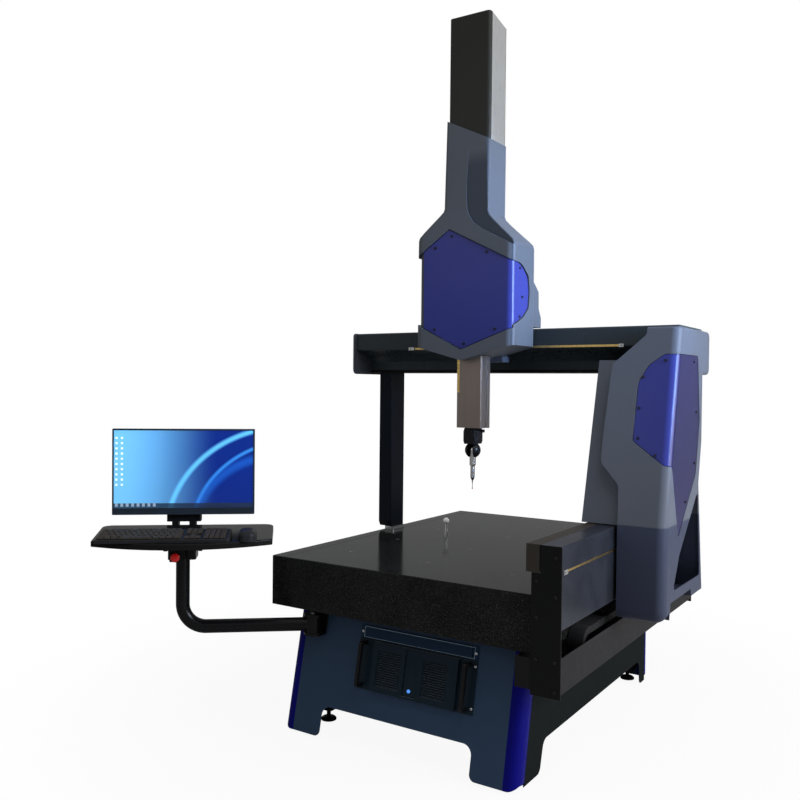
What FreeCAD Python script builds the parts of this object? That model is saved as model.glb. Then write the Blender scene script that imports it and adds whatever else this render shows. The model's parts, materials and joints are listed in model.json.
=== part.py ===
import FreeCAD, Part

import math
import os

import Sketcher
from FreeCAD import Placement, Rotation, Vector

# Moving-bridge coordinate measuring machine with a swing-arm workstation.
# Millimetres, +Z up, +X to the right and -Y to the front. The origin is the centre
# of the granite work surface, so the work surface is the plane Z = 0.

DRIVING_DIMENSIONS = (
    # granite table and guide beam
    ("table_width", 1100), ("table_length", 1460), ("table_thickness", 185),
    ("guide_inner_x", 566), ("guide_width", 70), ("guide_bottom", -92), ("guide_top", 166),
    ("guide_front", -755), ("guide_rear", 725),
    ("insert_pitch_x", 350), ("insert_pitch_y", 330), ("insert_radius", 9), ("insert_bore", 3.4),
    # stand
    ("floor", -651), ("stand_half_width", 482), ("stand_rear", 611), ("stand_top", -190),
    ("cover_bottom", -640), ("face_top_y", -641.6), ("face_bottom_y", -738), ("sheet", 3),
    ("post_width", 47), ("arch_top", -532), ("arch_half_width", 312),
    ("foot_x", 403), ("foot_front_y", -560), ("foot_rear_y", 574),
    # rack units in the front face
    ("rack_center_x", 62), ("rack_ear_width", 482.6), ("rack_body_width", 440), ("rack_unit", 44.45),
    # bridge
    ("beam_front", -82.5), ("beam_rear", 232), ("beam_top", 879), ("beam_nose", 805),
    ("beam_throat_y", 28.5), ("beam_throat_z", 768), ("beam_bottom", 720), ("base_plate_bottom", 708),
    ("beam_left", -633), ("beam_right", 790),
    ("leg_left_x", -575), ("leg_left_width", 66), ("leg_left_front", 16), ("leg_left_depth", 107),
    ("leg_right_x", 503), ("leg_right_width", 137),
    ("cover_outer_x", 815), ("cover_inner_x", 648), ("cover_front_y", -300),
    # carriage, head housing and tower
    ("ram_x", 34), ("ram_y", -218), ("ram_width", 106), ("ram_depth", 77),
    ("ram_bottom", 488), ("ram_top", 1780),
    ("head_x", 26), ("head_half_width", 214), ("head_front", -300), ("head_rear", -95),
    ("head_shoulder", 1200), ("head_corner_low", 806), ("head_apex_low", 751),
    ("tower_left", -68), ("tower_right", 130), ("tower_depth", 156), ("tower_top_left", 1682), ("tower_top_right", 1588),
    ("column_left", -53.5), ("column_right", 124.5), ("column_front", -282), ("column_rear", -144),
    ("column_top", 2076), ("column_top_rear", 2046),
    # probe
    ("probe_ball_radius", 31), ("probe_ball_z", 400), ("stylus_tip_z", 247),
    # swing arm and workstation
    ("arm_pivot_x", -375), ("arm_pivot_y", -695), ("arm_z", -243), ("arm_reach", 478),
    ("arm_tube_radius", 25), ("arm_bend_radius", 85), ("arm_angle", 40), ("arm_top", 10),
    ("tray_rear", 75), ("tray_front", -300), ("tray_top", 121), ("tray_thickness", 20),
    ("monitor_left", -270), ("monitor_width", 523), ("monitor_bottom", 158), ("monitor_top", 480), ("monitor_face", 78),
    # reference sphere
    ("sphere_x", -211), ("sphere_y", 2), ("sphere_z", 71), ("sphere_radius", 13),
)

doc = FreeCAD.newDocument("coordinate_measuring_machine")
sheet = doc.addObject("Spreadsheet::Sheet", "dims")
for row, (alias, number) in enumerate(DRIVING_DIMENSIONS, start=1):
    sheet.set("A%d" % row, alias)
    sheet.set("B%d" % row, str(number))
    sheet.setAlias("B%d" % row, alias)
doc.recompute()


# ---------------------------------------------------------------- sizes and expressions

class Size:
    """A number together with the spreadsheet expression that gives it."""

    def __init__(self, value, text):
        self.value = float(value)
        self.text = text

    def _join(self, other, sign, value, flipped=False):
        other = size(other)
        left, right = (other, self) if flipped else (self, other)
        return Size(value(left.value, right.value), "(%s %s %s)" % (left.text, sign, right.text))

    def __add__(self, other):
        return self._join(other, "+", lambda a, b: a + b)

    def __radd__(self, other):
        return self._join(other, "+", lambda a, b: a + b, True)

    def __sub__(self, other):
        return self._join(other, "-", lambda a, b: a - b)

    def __rsub__(self, other):
        return self._join(other, "-", lambda a, b: a - b, True)

    def __mul__(self, other):
        return self._join(other, "*", lambda a, b: a * b)

    def __rmul__(self, other):
        return self._join(other, "*", lambda a, b: a * b, True)

    def __truediv__(self, other):
        return self._join(other, "/", lambda a, b: a / b)

    def __neg__(self):
        return Size(-self.value, "(-1 * %s)" % self.text)


class Dimensions:
    """Reads a driving dimension from the sheet by its alias."""

    def __getattr__(self, alias):
        return Size(sheet.get(alias), "dims." + alias)


def size(number):
    return number if isinstance(number, Size) else Size(number, repr(float(number)))


def bind(target, prop, number):
    """Sets a property to a size and ties it to the sheet."""
    number = size(number)
    target.setExpression(prop, number.text)
    return number.value


dim = Dimensions()
lean_run = dim.face_top_y - dim.face_bottom_y
lean_rise = dim.stand_top - dim.cover_bottom
FACE_LEAN = math.degrees(math.atan(lean_run.value / lean_rise.value))
FACE_LEAN_SIZE = Size(FACE_LEAN, "atan(%s / %s)" % (lean_run.text, lean_rise.text))
face_stretch = Size(1 / math.cos(math.radians(FACE_LEAN)), "(1 / cos(%s))" % FACE_LEAN_SIZE.text)


def face_y(z):
    """Y of the leaning face of the stand at a height."""
    return dim.face_top_y - (dim.stand_top - z) * (lean_run / lean_rise)


# ---------------------------------------------------------------- sketching helpers

def new_body(label):
    body = doc.addObject("PartDesign::Body", label)
    body.Label = label
    return body


def origin_plane(body, role):
    return [item for item in body.Origin.OriginFeatures if item.Role == role][0]


def corner_arc(before, corner, after, radius):
    """Tangent points, centre and turning sense of a round corner."""
    to_before = (before - corner).normalize()
    to_after = (after - corner).normalize()
    half = to_before.getAngle(to_after) / 2
    reach = radius / math.tan(half)
    middle = (to_before + to_after).normalize()
    centre = corner + middle * (radius / math.sin(half))
    turns_left = to_before.cross(to_after).z < 0
    return corner + to_before * reach, corner + to_after * reach, centre, turns_left


def fix_point(sketch, geometry, position, x, y):
    for kind, number in (("DistanceX", size(x)), ("DistanceY", size(y))):
        index = sketch.addConstraint(Sketcher.Constraint(kind, -1, 1, geometry, position, number.value))
        sketch.setExpression("Constraints[%d]" % index, number.text)


def fix_radius(sketch, geometry, radius):
    index = sketch.addConstraint(Sketcher.Constraint("Radius", geometry, size(radius).value))
    sketch.setExpression("Constraints[%d]" % index, size(radius).text)


def add_circle(sketch, x, y, radius):
    centre = Vector(size(x).value, size(y).value, 0)
    ring = sketch.addGeometry(Part.Circle(centre, Vector(0, 0, 1), size(radius).value), False)
    fix_point(sketch, ring, 3, x, y)
    fix_radius(sketch, ring, radius)


def add_outline(sketch, vertices):
    """A closed outline of (x, y) or (x, y, corner radius) vertices."""
    corners = [Vector(size(v[0]).value, size(v[1]).value, 0) for v in vertices]
    radii = [size(v[2]) if len(v) > 2 else None for v in vertices]
    count = len(corners)
    starts, ends, arcs = list(corners), list(corners), [None] * count
    for i, radius in enumerate(radii):
        if radius is None:
            continue
        into, out, centre, left = corner_arc(corners[i - 1], corners[i], corners[(i + 1) % count], radius.value)
        ends[i], starts[i] = into, out
        first, last = (into, out) if left else (out, into)
        circle = Part.Circle(centre, Vector(0, 0, 1), radius.value)
        angles = [math.atan2(p.y - centre.y, p.x - centre.x) for p in (first, last)]
        arcs[i] = (Part.ArcOfCircle(circle, angles[0], angles[1]), left)
    lines = []
    for i in range(count):
        after = (i + 1) % count
        lines.append(sketch.addGeometry(Part.LineSegment(starts[i], ends[after]), False))
    for i, vertex in enumerate(vertices):
        into, out = lines[i - 1], lines[i]
        if arcs[i] is None:
            sketch.addConstraint(Sketcher.Constraint("Coincident", into, 2, out, 1))
            fix_point(sketch, out, 1, vertex[0], vertex[1])
            continue
        arc, left = arcs[i]
        bend = sketch.addGeometry(arc, False)
        first, last = (1, 2) if left else (2, 1)
        sketch.addConstraint(Sketcher.Constraint("Tangent", into, 2, bend, first))
        sketch.addConstraint(Sketcher.Constraint("Tangent", bend, last, out, 1))
        fix_radius(sketch, bend, radii[i])
        corner = sketch.addGeometry(Part.Point(corners[i]), True)
        fix_point(sketch, corner, 1, vertex[0], vertex[1])
        sketch.addConstraint(Sketcher.Constraint("PointOnObject", corner, 1, into))
        sketch.addConstraint(Sketcher.Constraint("PointOnObject", corner, 1, out))


def new_sketch(body, role, loops, level=0):
    """A sketch on an origin plane, at a distance along +X, +Y or +Z from it."""
    sketch = body.newObject("Sketcher::SketchObject", "Outline")
    sketch.AttachmentSupport = (origin_plane(body, role), [""])
    sketch.MapMode = "FlatFace"
    level = size(level)
    if role == "XZ_Plane":
        level = -level
    sketch.AttachmentOffset = Placement(Vector(0, 0, level.value), Rotation())
    sketch.setExpression("AttachmentOffset.Base.z", level.text)
    for loop in loops:
        if loop[0] == "circle":
            add_circle(sketch, loop[1], loop[2], loop[3])
        else:
            add_outline(sketch, loop)
    return sketch


def rectangle(x0, y0, x1, y1, radius=None):
    corners = [(x0, y0), (x1, y0), (x1, y1), (x0, y1)]
    return corners if radius is None else [corner + (radius,) for corner in corners]


def pad(body, role, loops, level, length):
    """Material from level to level + length along the plane's axis."""
    feature = body.newObject("PartDesign::Pad", "Pad")
    feature.Profile = new_sketch(body, role, loops, level)
    feature.Length = bind(feature, "Length", length)
    feature.Reversed = role == "XZ_Plane"
    body.Tip = feature
    return feature


def pocket(body, role, loops, level, length):
    """Cuts from level to level + length along the plane's axis."""
    feature = body.newObject("PartDesign::Pocket", "Pocket")
    feature.Profile = new_sketch(body, role, loops, level)
    feature.Length = bind(feature, "Length", length)
    feature.Reversed = role != "XZ_Plane"
    body.Tip = feature
    return feature


def linear_pattern(body, feature, role, length, count):
    """Repeats a feature along the X, Y or Z axis of the body."""
    pattern = body.newObject("PartDesign::LinearPattern", "Pattern")
    pattern.Originals = [feature]
    axis = [item for item in body.Origin.OriginFeatures if item.Role == role][0]
    pattern.Direction = (axis, [""])
    pattern.Length = bind(pattern, "Length", length)
    pattern.Occurrences = count
    body.Tip = pattern
    return pattern


def mirror(body, features, role):
    pattern = body.newObject("PartDesign::Mirrored", "Mirror")
    pattern.Originals = features
    pattern.MirrorPlane = (origin_plane(body, role), [""])
    body.Tip = pattern
    return pattern


def turn(body, profile):
    """A solid of revolution about Z from a half profile of (radius, height)."""
    feature = body.newObject("PartDesign::Revolution", "Turn")
    sketch = new_sketch(body, "XZ_Plane", [profile])
    feature.Profile = sketch
    feature.ReferenceAxis = (sketch, ["V_Axis"])
    feature.Angle = 360
    body.Tip = feature
    return feature


def dress(body, kind, amount, chosen):
    """A fillet or chamfer on the edges for which chosen(edge) is true."""
    doc.recompute()
    names = ["Edge%d" % (i + 1) for i, edge in enumerate(body.Tip.Shape.Edges) if chosen(edge)]
    if not names:
        raise RuntimeError("no edges to dress on " + body.Label)
    base = body.Tip
    feature = body.newObject("PartDesign::" + kind, kind)
    feature.Base = (base, names)
    prop = "Radius" if kind == "Fillet" else "Size"
    setattr(feature, prop, bind(feature, prop, amount))
    body.Tip = feature
    return feature


def edge_box(edge):
    return edge.BoundBox


def lies_at(value, wanted, slack=0.02):
    return abs(value - size(wanted).value) < slack


def place(item, x=0, y=0, z=0, axis=(0, 0, 1), angle=0):
    x, y, z, angle = size(x), size(y), size(z), size(angle)
    item.Placement = Placement(Vector(x.value, y.value, z.value), Rotation(Vector(*axis), angle.value))
    for prop, number in (("Base.x", x), ("Base.y", y), ("Base.z", z), ("Rotation.Angle", angle)):
        item.setExpression("Placement." + prop, number.text)
    return item


def boolean(kind, label, shapes):
    """Part boolean of earlier objects: MultiFuse, MultiCommon, Cut or Compound."""
    result = doc.addObject("Part::" + kind, label)
    result.Label = label
    if kind == "Cut":
        result.Base, result.Tool = shapes
    elif kind == "Compound":
        result.Links = shapes
    else:
        result.Shapes = shapes
    return result


SUBPARTS = []


def subpart(item):
    """Names an object as a finished sub-part, which is written to its own file."""
    SUBPARTS.append(item)
    return item


# ---------------------------------------------------------------- granite and guide

def insert_places():
    for ix in (-1, 0, 1):
        for iy in (-1.5, -0.5, 0.5, 1.5):
            yield dim.insert_pitch_x * ix, dim.insert_pitch_y * iy


def granite_table():
    """Lapped granite block with sockets for inserts and a relief groove by the left track."""
    body = new_body("granite_table")
    half_x, half_y = dim.table_width / 2, dim.table_length / 2
    pad(body, "XY_Plane", [rectangle(-half_x, -half_y, half_x, half_y)], -dim.table_thickness, dim.table_thickness)
    dress(body, "Chamfer", 3, lambda e: lies_at(edge_box(e).ZMin, 0) or edge_box(e).ZLength > 100)
    sockets = [("circle", x, y, dim.insert_radius) for x, y in insert_places()]
    sockets.append(("circle", dim.sphere_x, dim.sphere_y, dim.insert_radius))
    pocket(body, "XY_Plane", sockets, -26, 27)
    groove_x = 57 - half_x
    pocket(body, "XY_Plane", [rectangle(groove_x - 1.2, -half_y - 1, groove_x + 1.2, half_y + 1)], -1.5, 3)
    subpart(body)


def table_inserts():
    """Stainless threaded inserts, bonded flush with the work surface."""
    body = new_body("table_inserts")
    loops = []
    for x, y in insert_places():
        loops += [("circle", x, y, dim.insert_radius - 0.1), ("circle", x, y, dim.insert_bore)]
    pad(body, "XY_Plane", loops, -25.2, 25)
    subpart(body)


def guide_beam():
    """Granite side guide that the powered leg runs on."""
    body = new_body("guide_beam")
    outer = dim.guide_inner_x + dim.guide_width
    pad(body, "XZ_Plane", [rectangle(dim.guide_inner_x, dim.guide_bottom, outer, dim.guide_top)],
        dim.guide_front, dim.guide_rear - dim.guide_front)
    dress(body, "Chamfer", 2, lambda e: edge_box(e).YLength > 100)
    subpart(body)


def guide_inner_strip():
    """Folded channel over the inner edge of the guide, closed by an end cap at the front."""
    body = new_body("guide_inner_strip")
    left, right = dim.guide_inner_x - 46, dim.guide_inner_x - 0.5
    low, high = dim.guide_top - 82, dim.guide_top
    channel = [(left, low), (right, low), (right, low + 4), (left + 4, low + 4),
               (left + 4, high - 4), (right, high - 4), (right, high), (left, high)]
    pad(body, "XZ_Plane", [channel], dim.guide_front, dim.guide_rear - dim.guide_front)
    pad(body, "XZ_Plane", [rectangle(left - 1.5, low - 5, right - 2, high + 0.5, 2)], dim.guide_front - 4, 4)
    subpart(body)


def guide_end_plates():
    """Steel plates that close the guide and the chain trough at the front and the rear."""
    body = new_body("guide_end_plates")
    inner, outer = dim.guide_inner_x - 29, dim.guide_inner_x + dim.guide_width + 1.5
    notch_x, notch_z = dim.guide_inner_x, dim.guide_top - 88
    low = dim.guide_bottom - 210
    for edge, start in ((inner, dim.guide_front - 5), (dim.guide_inner_x - 12, dim.guide_rear)):
        plate = [(edge, low), (outer, low), (outer, dim.guide_top), (notch_x, dim.guide_top),
                 (notch_x, notch_z), (edge, notch_z)]
        pad(body, "XZ_Plane", [plate], start, 5)
    subpart(body)


def y_scale():
    """Gold-coloured steel grating tape along the outer face of the guide."""
    body = new_body("y_scale")
    face = dim.guide_inner_x + dim.guide_width
    pad(body, "YZ_Plane", [rectangle(dim.guide_front + 46, 83, dim.guide_rear - 40, 90)], face, 0.5)
    subpart(body)


def y_scale_clips():
    """Clamps at the ends of the Y tape, each with its screw hole."""
    body = new_body("y_scale_clips")
    face = dim.guide_inner_x + dim.guide_width
    for start in (dim.guide_front + 8, dim.guide_rear - 38):
        pad(body, "YZ_Plane", [rectangle(start, 79, start + 30, 94, 2), ("circle", start + 9, 86.5, 2.5)], face, 5)
    subpart(body)


def cable_trough():
    """Folded sheet trough beneath the guide, in which the energy chain lies."""
    body = new_body("cable_trough")
    inner, outer = dim.stand_half_width + 0.5, dim.guide_inner_x + dim.guide_width
    bottom = dim.guide_bottom - 196
    wall = dim.sheet
    trough = [(inner, bottom), (outer, bottom), (outer, dim.guide_bottom - 83), (outer - wall, dim.guide_bottom - 83),
              (outer - wall, bottom + wall), (inner + wall, bottom + wall),
              (inner + wall, dim.stand_top - 2), (inner, dim.stand_top - 2)]
    pad(body, "XZ_Plane", [trough], dim.guide_front, dim.guide_rear - dim.guide_front)
    pad(body, "XZ_Plane", [rectangle(inner, bottom, dim.guide_inner_x - 29.3, dim.stand_top - 2)],
        dim.guide_front - 2, 3)
    subpart(body)


CHAIN_X0, CHAIN_X1, CHAIN_HEIGHT = 553, 608, 24


def energy_chain_run():
    """Lower run of the energy chain, at rest on the floor of the trough."""
    body = new_body("energy_chain_run")
    floor = dim.guide_bottom - 196 + dim.sheet
    pad(body, "YZ_Plane", [rectangle(-690, floor + 0.3, 700, floor + CHAIN_HEIGHT)], CHAIN_X0, CHAIN_X1 - CHAIN_X0)
    gap = pocket(body, "YZ_Plane", [rectangle(-671, floor + 16, -668, floor + 30)], CHAIN_X0 - 1, 60)
    linear_pattern(body, gap, "Y_Axis", 1320, 45)
    subpart(body)


def energy_chain_loop():
    """Rolling loop and upper run of the energy chain."""
    body = new_body("energy_chain_loop")
    low = dim.guide_bottom - 196 + dim.sheet + CHAIN_HEIGHT + 1.5
    high = low + 108
    loop = [(-504, low, 54), (-380, low), (-380, low + CHAIN_HEIGHT), (-480, low + CHAIN_HEIGHT, 29.9),
            (-480, high - CHAIN_HEIGHT, 29.9), (5, high - CHAIN_HEIGHT), (5, high), (-504, high, 53.9)]
    pad(body, "YZ_Plane", [loop], CHAIN_X0, CHAIN_X1 - CHAIN_X0)
    gap = pocket(body, "YZ_Plane", [rectangle(-421, high - 8, -418, high + 2)], CHAIN_X0 - 1, 60)
    linear_pattern(body, gap, "Y_Axis", 390, 14)
    subpart(body)


def support_pads():
    """Three pads that carry the granite on the frame, and the spacers behind the guide."""
    body = new_body("support_pads")
    bottom = -dim.table_thickness - 30
    pads = [("circle", dim.foot_x, -420, 45), ("circle", -dim.foot_x, -420, 45), ("circle", 0, dim.foot_rear_y - 20, 45)]
    pad(body, "XY_Plane", pads, bottom, 30)
    for y in (-600, -30, 540):
        pad(body, "YZ_Plane", [rectangle(y, -75, y + 60, -15, 6)], dim.table_width / 2, dim.guide_inner_x - dim.table_width / 2)
    subpart(body)


# ---------------------------------------------------------------- stand

def stand_frame():
    """Welded frame of square tube behind the covers: four posts, side rails and cross rails."""
    body = new_body("stand_frame")
    top, half = -dim.table_thickness - 30, 32
    post_bottom = dim.floor + 45
    posts = []
    for x in (-dim.foot_x, dim.foot_x):
        for y in (dim.foot_front_y, dim.foot_rear_y):
            posts.append(rectangle(x - half, y - half, x + half, y + half, 6))
    pad(body, "XY_Plane", posts, post_bottom, top - post_bottom)
    length = dim.foot_rear_y - dim.foot_front_y
    for low, high in ((top - 60, top), (dim.arch_top + 20, dim.arch_top + 70)):
        rails = []
        for x in (-dim.foot_x, dim.foot_x):
            rails.append(rectangle(x - 25, low, x + 25, high))
        pad(body, "XZ_Plane", rails, dim.foot_front_y, length)
    cross = [rectangle(-230, top - 60, -170, top), rectangle(dim.foot_rear_y - 30, top - 60, dim.foot_rear_y + 30, top),
             rectangle(dim.foot_rear_y - 25, dim.arch_top + 20, dim.foot_rear_y + 25, dim.arch_top + 70)]
    pad(body, "YZ_Plane", cross, -dim.foot_x, dim.foot_x * 2)
    subpart(body)


def arch_outline(left, right, top, bottom, arch_left, arch_right, arch_top):
    """Panel with a leg at each side and a flat arch between them."""
    return [(left, top), (left, bottom), (arch_left, bottom, 22), (arch_left, arch_top, 34),
            (arch_right, arch_top, 34), (arch_right, bottom, 22), (right, bottom), (right, top)]


def stand_front_panel():
    """Leaning sheet-metal face with the arch between the legs and the rack opening."""
    body = new_body("stand_front_panel")
    side = dim.stand_half_width - dim.post_width
    bottom = (dim.cover_bottom - dim.stand_top) * face_stretch
    arch = (dim.arch_top - dim.stand_top) * face_stretch
    outline = arch_outline(-side, side, 0, bottom, -dim.arch_half_width, dim.arch_half_width, arch)
    pad(body, "XZ_Plane", [outline], 0, dim.sheet)
    half = dim.rack_body_width / 2 + 4
    opening = rectangle(dim.rack_center_x - half, -252.3, dim.rack_center_x + half, -38)
    pocket(body, "XZ_Plane", [opening], -1, dim.sheet + 2)
    place(body, 0, dim.face_top_y, dim.stand_top, (1, 0, 0), -FACE_LEAN_SIZE)
    subpart(body)


def stand_rear_panel():
    body = new_body("stand_rear_panel")
    side = dim.stand_half_width - dim.post_width
    outline = arch_outline(-side, side, dim.stand_top, dim.cover_bottom,
                           -dim.arch_half_width, dim.arch_half_width, dim.arch_top)
    pad(body, "XZ_Plane", [outline], dim.stand_rear - dim.sheet, dim.sheet)
    subpart(body)


def stand_side_panels():
    """Left and right side sheets, each with an arch between the front and the rear leg."""
    body = new_body("stand_side_panels")
    inset = (dim.post_width + 12) * face_stretch + 0.3
    rear = dim.stand_rear - dim.post_width
    outline = [(dim.face_top_y + inset, dim.stand_top), (dim.face_bottom_y + inset, dim.cover_bottom),
               (-552, dim.cover_bottom, 26), (-521, dim.arch_top - 5, 34), (486, dim.arch_top - 5, 34),
               (500, dim.cover_bottom, 22), (rear, dim.cover_bottom), (rear, dim.stand_top)]
    sheet_pad = pad(body, "YZ_Plane", [outline], dim.stand_half_width - dim.sheet, dim.sheet)
    mirror(body, [sheet_pad], "YZ_Plane")
    subpart(body)


def post_section(rear):
    """Rounded corner section of a post; the outside faces +X and -Y, or +Y at the rear."""
    side, wall = dim.stand_half_width, dim.sheet
    inner = side - dim.post_width
    sign = -1 if rear else 1
    depth = dim.post_width + (0 if rear else 12)
    return [(inner, 0), (side, 0, 38), (side, depth * sign), (side - wall, depth * sign),
            (side - wall, wall * sign, 35), (inner, wall * sign)]


def rounded_foot(label, top, bottom, front, depth):
    """Region between the outer edges of a pair of posts, round at its two lower corners."""
    body = new_body(label)
    side = dim.stand_half_width + 1
    outline = [(-side, top), (-side, bottom, 36), (side, bottom, 36), (side, top)]
    pad(body, "XZ_Plane", [outline], front, depth)
    return body


def corner_posts():
    """Blue rounded corner posts; the front pair leans with the face."""
    front = new_body("corner_posts_front")
    length = (dim.stand_top - dim.cover_bottom) * face_stretch
    post = pad(front, "XY_Plane", [post_section(False)], -length, length)
    mirror(front, [post], "YZ_Plane")
    front_pair = boolean("MultiCommon", "front_pair", [front, rounded_foot("front_foot", 5, -length, -5, 90)])
    place(front_pair, 0, dim.face_top_y, dim.stand_top, (1, 0, 0), -FACE_LEAN_SIZE)
    back = new_body("corner_posts_rear")
    post = pad(back, "XY_Plane", [post_section(True)], dim.cover_bottom, dim.stand_top - dim.cover_bottom)
    mirror(back, [post], "YZ_Plane")
    foot = rounded_foot("rear_foot", dim.stand_top + 5, dim.cover_bottom, -80, 90)
    rear_pair = boolean("MultiCommon", "rear_pair", [back, foot])
    place(rear_pair, 0, dim.stand_rear, 0)
    subpart(boolean("Compound", "corner_posts", [front_pair, rear_pair]))


def levelling_feet():
    """Screw-down feet: a round pad with a swivel stem under each post."""
    feet = []
    for x in (-dim.foot_x, dim.foot_x):
        for y in (dim.foot_front_y, dim.foot_rear_y):
            body = new_body("levelling_foot")
            turn(body, [(0, 0), (30, 0), (30, 6), (24, 11), (12, 14), (8, 14), (8, 45), (0, 45)])
            place(body, x, y, dim.floor)
            feet.append(body)
    subpart(boolean("Compound", "levelling_feet", feet))


# ---------------------------------------------------------------- rack units

def on_face(body):
    """Sets a body into the leaning face: local Y runs into the stand, local Z up the slope."""
    place(body, 0, dim.face_top_y, dim.stand_top, (1, 0, 0), -FACE_LEAN_SIZE)


CONTROLLER_TOP = -34


def rack_controller():
    """One-unit controller: thin front plate with ears, raised fascia and a closed case."""
    body = new_body("rack_controller")
    centre, half_ears, half_case = dim.rack_center_x, dim.rack_ear_width / 2, dim.rack_body_width / 2
    low = CONTROLLER_TOP - dim.rack_unit + 0.8
    pad(body, "XZ_Plane", [rectangle(centre - half_ears, low, centre + half_ears, CONTROLLER_TOP)], -3.3, 3)
    pad(body, "XZ_Plane", [rectangle(centre - 218, low + 2, centre + 218, CONTROLLER_TOP - 2, 2)], -7.3, 4)
    pad(body, "XZ_Plane", [rectangle(centre - half_case, low + 1, centre + half_case, CONTROLLER_TOP - 4.5)],
        -0.3, 300)
    ears = [("circle", centre + side * 232.5, low + 21, 3.2) for side in (-1, 1)]
    pocket(body, "XZ_Plane", ears, -8, 8)
    on_face(body)
    subpart(body)


def rack_computer():
    """Four-unit industrial computer: doors with louvred grilles either side of a console strip."""
    body = new_body("rack_computer")
    centre, half_ears, half_case = dim.rack_center_x, dim.rack_ear_width / 2, dim.rack_body_width / 2
    high = CONTROLLER_TOP - dim.rack_unit - 1
    low = high - dim.rack_unit * 4 + 1
    pad(body, "XZ_Plane", [rectangle(centre - half_ears, low, centre + half_ears, high)], -3.3, 3)
    pad(body, "XZ_Plane", [rectangle(centre - half_case, low + 4.5, centre + half_case, high - 1)], -0.3, 350)
    pad(body, "XZ_Plane", [rectangle(centre - 172, low + 4, centre + 176, high - 4, 3)], -17.3, 14)
    strip = rectangle(centre - 34, low + 10, centre + 20, high - 8, 2)
    pocket(body, "XZ_Plane", [strip], -20, 8)
    doors = [rectangle(centre - 150, low + 22, centre - 52, high - 30, 2),
             rectangle(centre + 40, low + 22, centre + 138, high - 30, 2)]
    pocket(body, "XZ_Plane", doors, -20, 5)
    louvres = [rectangle(centre - 146, low + 26, centre - 56, low + 30),
               rectangle(centre + 44, low + 26, centre + 134, low + 30)]
    slot = pocket(body, "XZ_Plane", louvres, -18, 9)
    linear_pattern(body, slot, "Z_Axis", 112, 15)
    button = ("circle", centre - 8, low + 30, 6.3)
    pocket(body, "XZ_Plane", [button], -13, 6)
    ears = []
    for side in (-1, 1):
        for z in (low + 20, high - 20):
            ears.append(("circle", centre + side * 234.5, z, 3.2))
    pocket(body, "XZ_Plane", ears, -4, 8)
    on_face(body)
    subpart(body)


def computer_handles():
    """Bow handles on the ears of the computer."""
    body = new_body("computer_handles")
    centre = dim.rack_center_x
    high = CONTROLLER_TOP - dim.rack_unit - 9
    low = high - dim.rack_unit * 4 + 16
    bow = [(-3.3, low), (-44, low, 12), (-44, high, 12), (-3.3, high),
           (-3.3, high - 14), (-30, high - 14, 6), (-30, low + 14, 6), (-3.3, low + 14)]
    for start in (centre - 220, centre + 206):
        pad(body, "YZ_Plane", [bow], start, 14)
    on_face(body)
    subpart(body)


def power_button():
    """Lit push button at the foot of the console strip."""
    body = new_body("power_button")
    low = CONTROLLER_TOP - dim.rack_unit * 5
    pad(body, "XZ_Plane", [("circle", dim.rack_center_x - 8, low + 30, 5.9)], -15, 5)
    on_face(body)
    subpart(body)


# ---------------------------------------------------------------- swing arm and workstation

def arm_bracket():
    """Hinge bracket on the face of the stand: back plate, two lugs and a vertical pin."""
    body = new_body("arm_bracket")
    x, y, z = dim.arm_pivot_x, dim.arm_pivot_y, dim.arm_z
    for low in (z - 40, z + 28):
        rear = face_y(low) - 0.8
        lug = [(x - 36, rear), (x + 36, rear), (x + 36, y - 30, 29), (x - 36, y - 30, 29)]
        pad(body, "XY_Plane", [lug], low, 12)
    pad(body, "XY_Plane", [("circle", x, y, 10)], z - 40, 80)
    back = [(face_y(z - 40) - 0.3, z - 40), (face_y(z + 40) - 0.3, z + 40),
            (face_y(z + 40) - 9, z + 40), (face_y(z - 40) - 3.4, z - 40)]
    pad(body, "YZ_Plane", [back], x - 36, 72)
    subpart(body)


def on_arm(body, reach=0, z=0):
    """Places a body in the frame of the arm: local X runs from the workstation to the hinge."""
    turn_cos = Size(math.cos(math.radians(dim.arm_angle.value)), "cos(dims.arm_angle)")
    turn_sin = Size(math.sin(math.radians(dim.arm_angle.value)), "sin(dims.arm_angle)")
    place(body, dim.arm_pivot_x - reach * turn_cos, dim.arm_pivot_y - reach * turn_sin, z,
          (0, 0, 1), dim.arm_angle)


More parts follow.
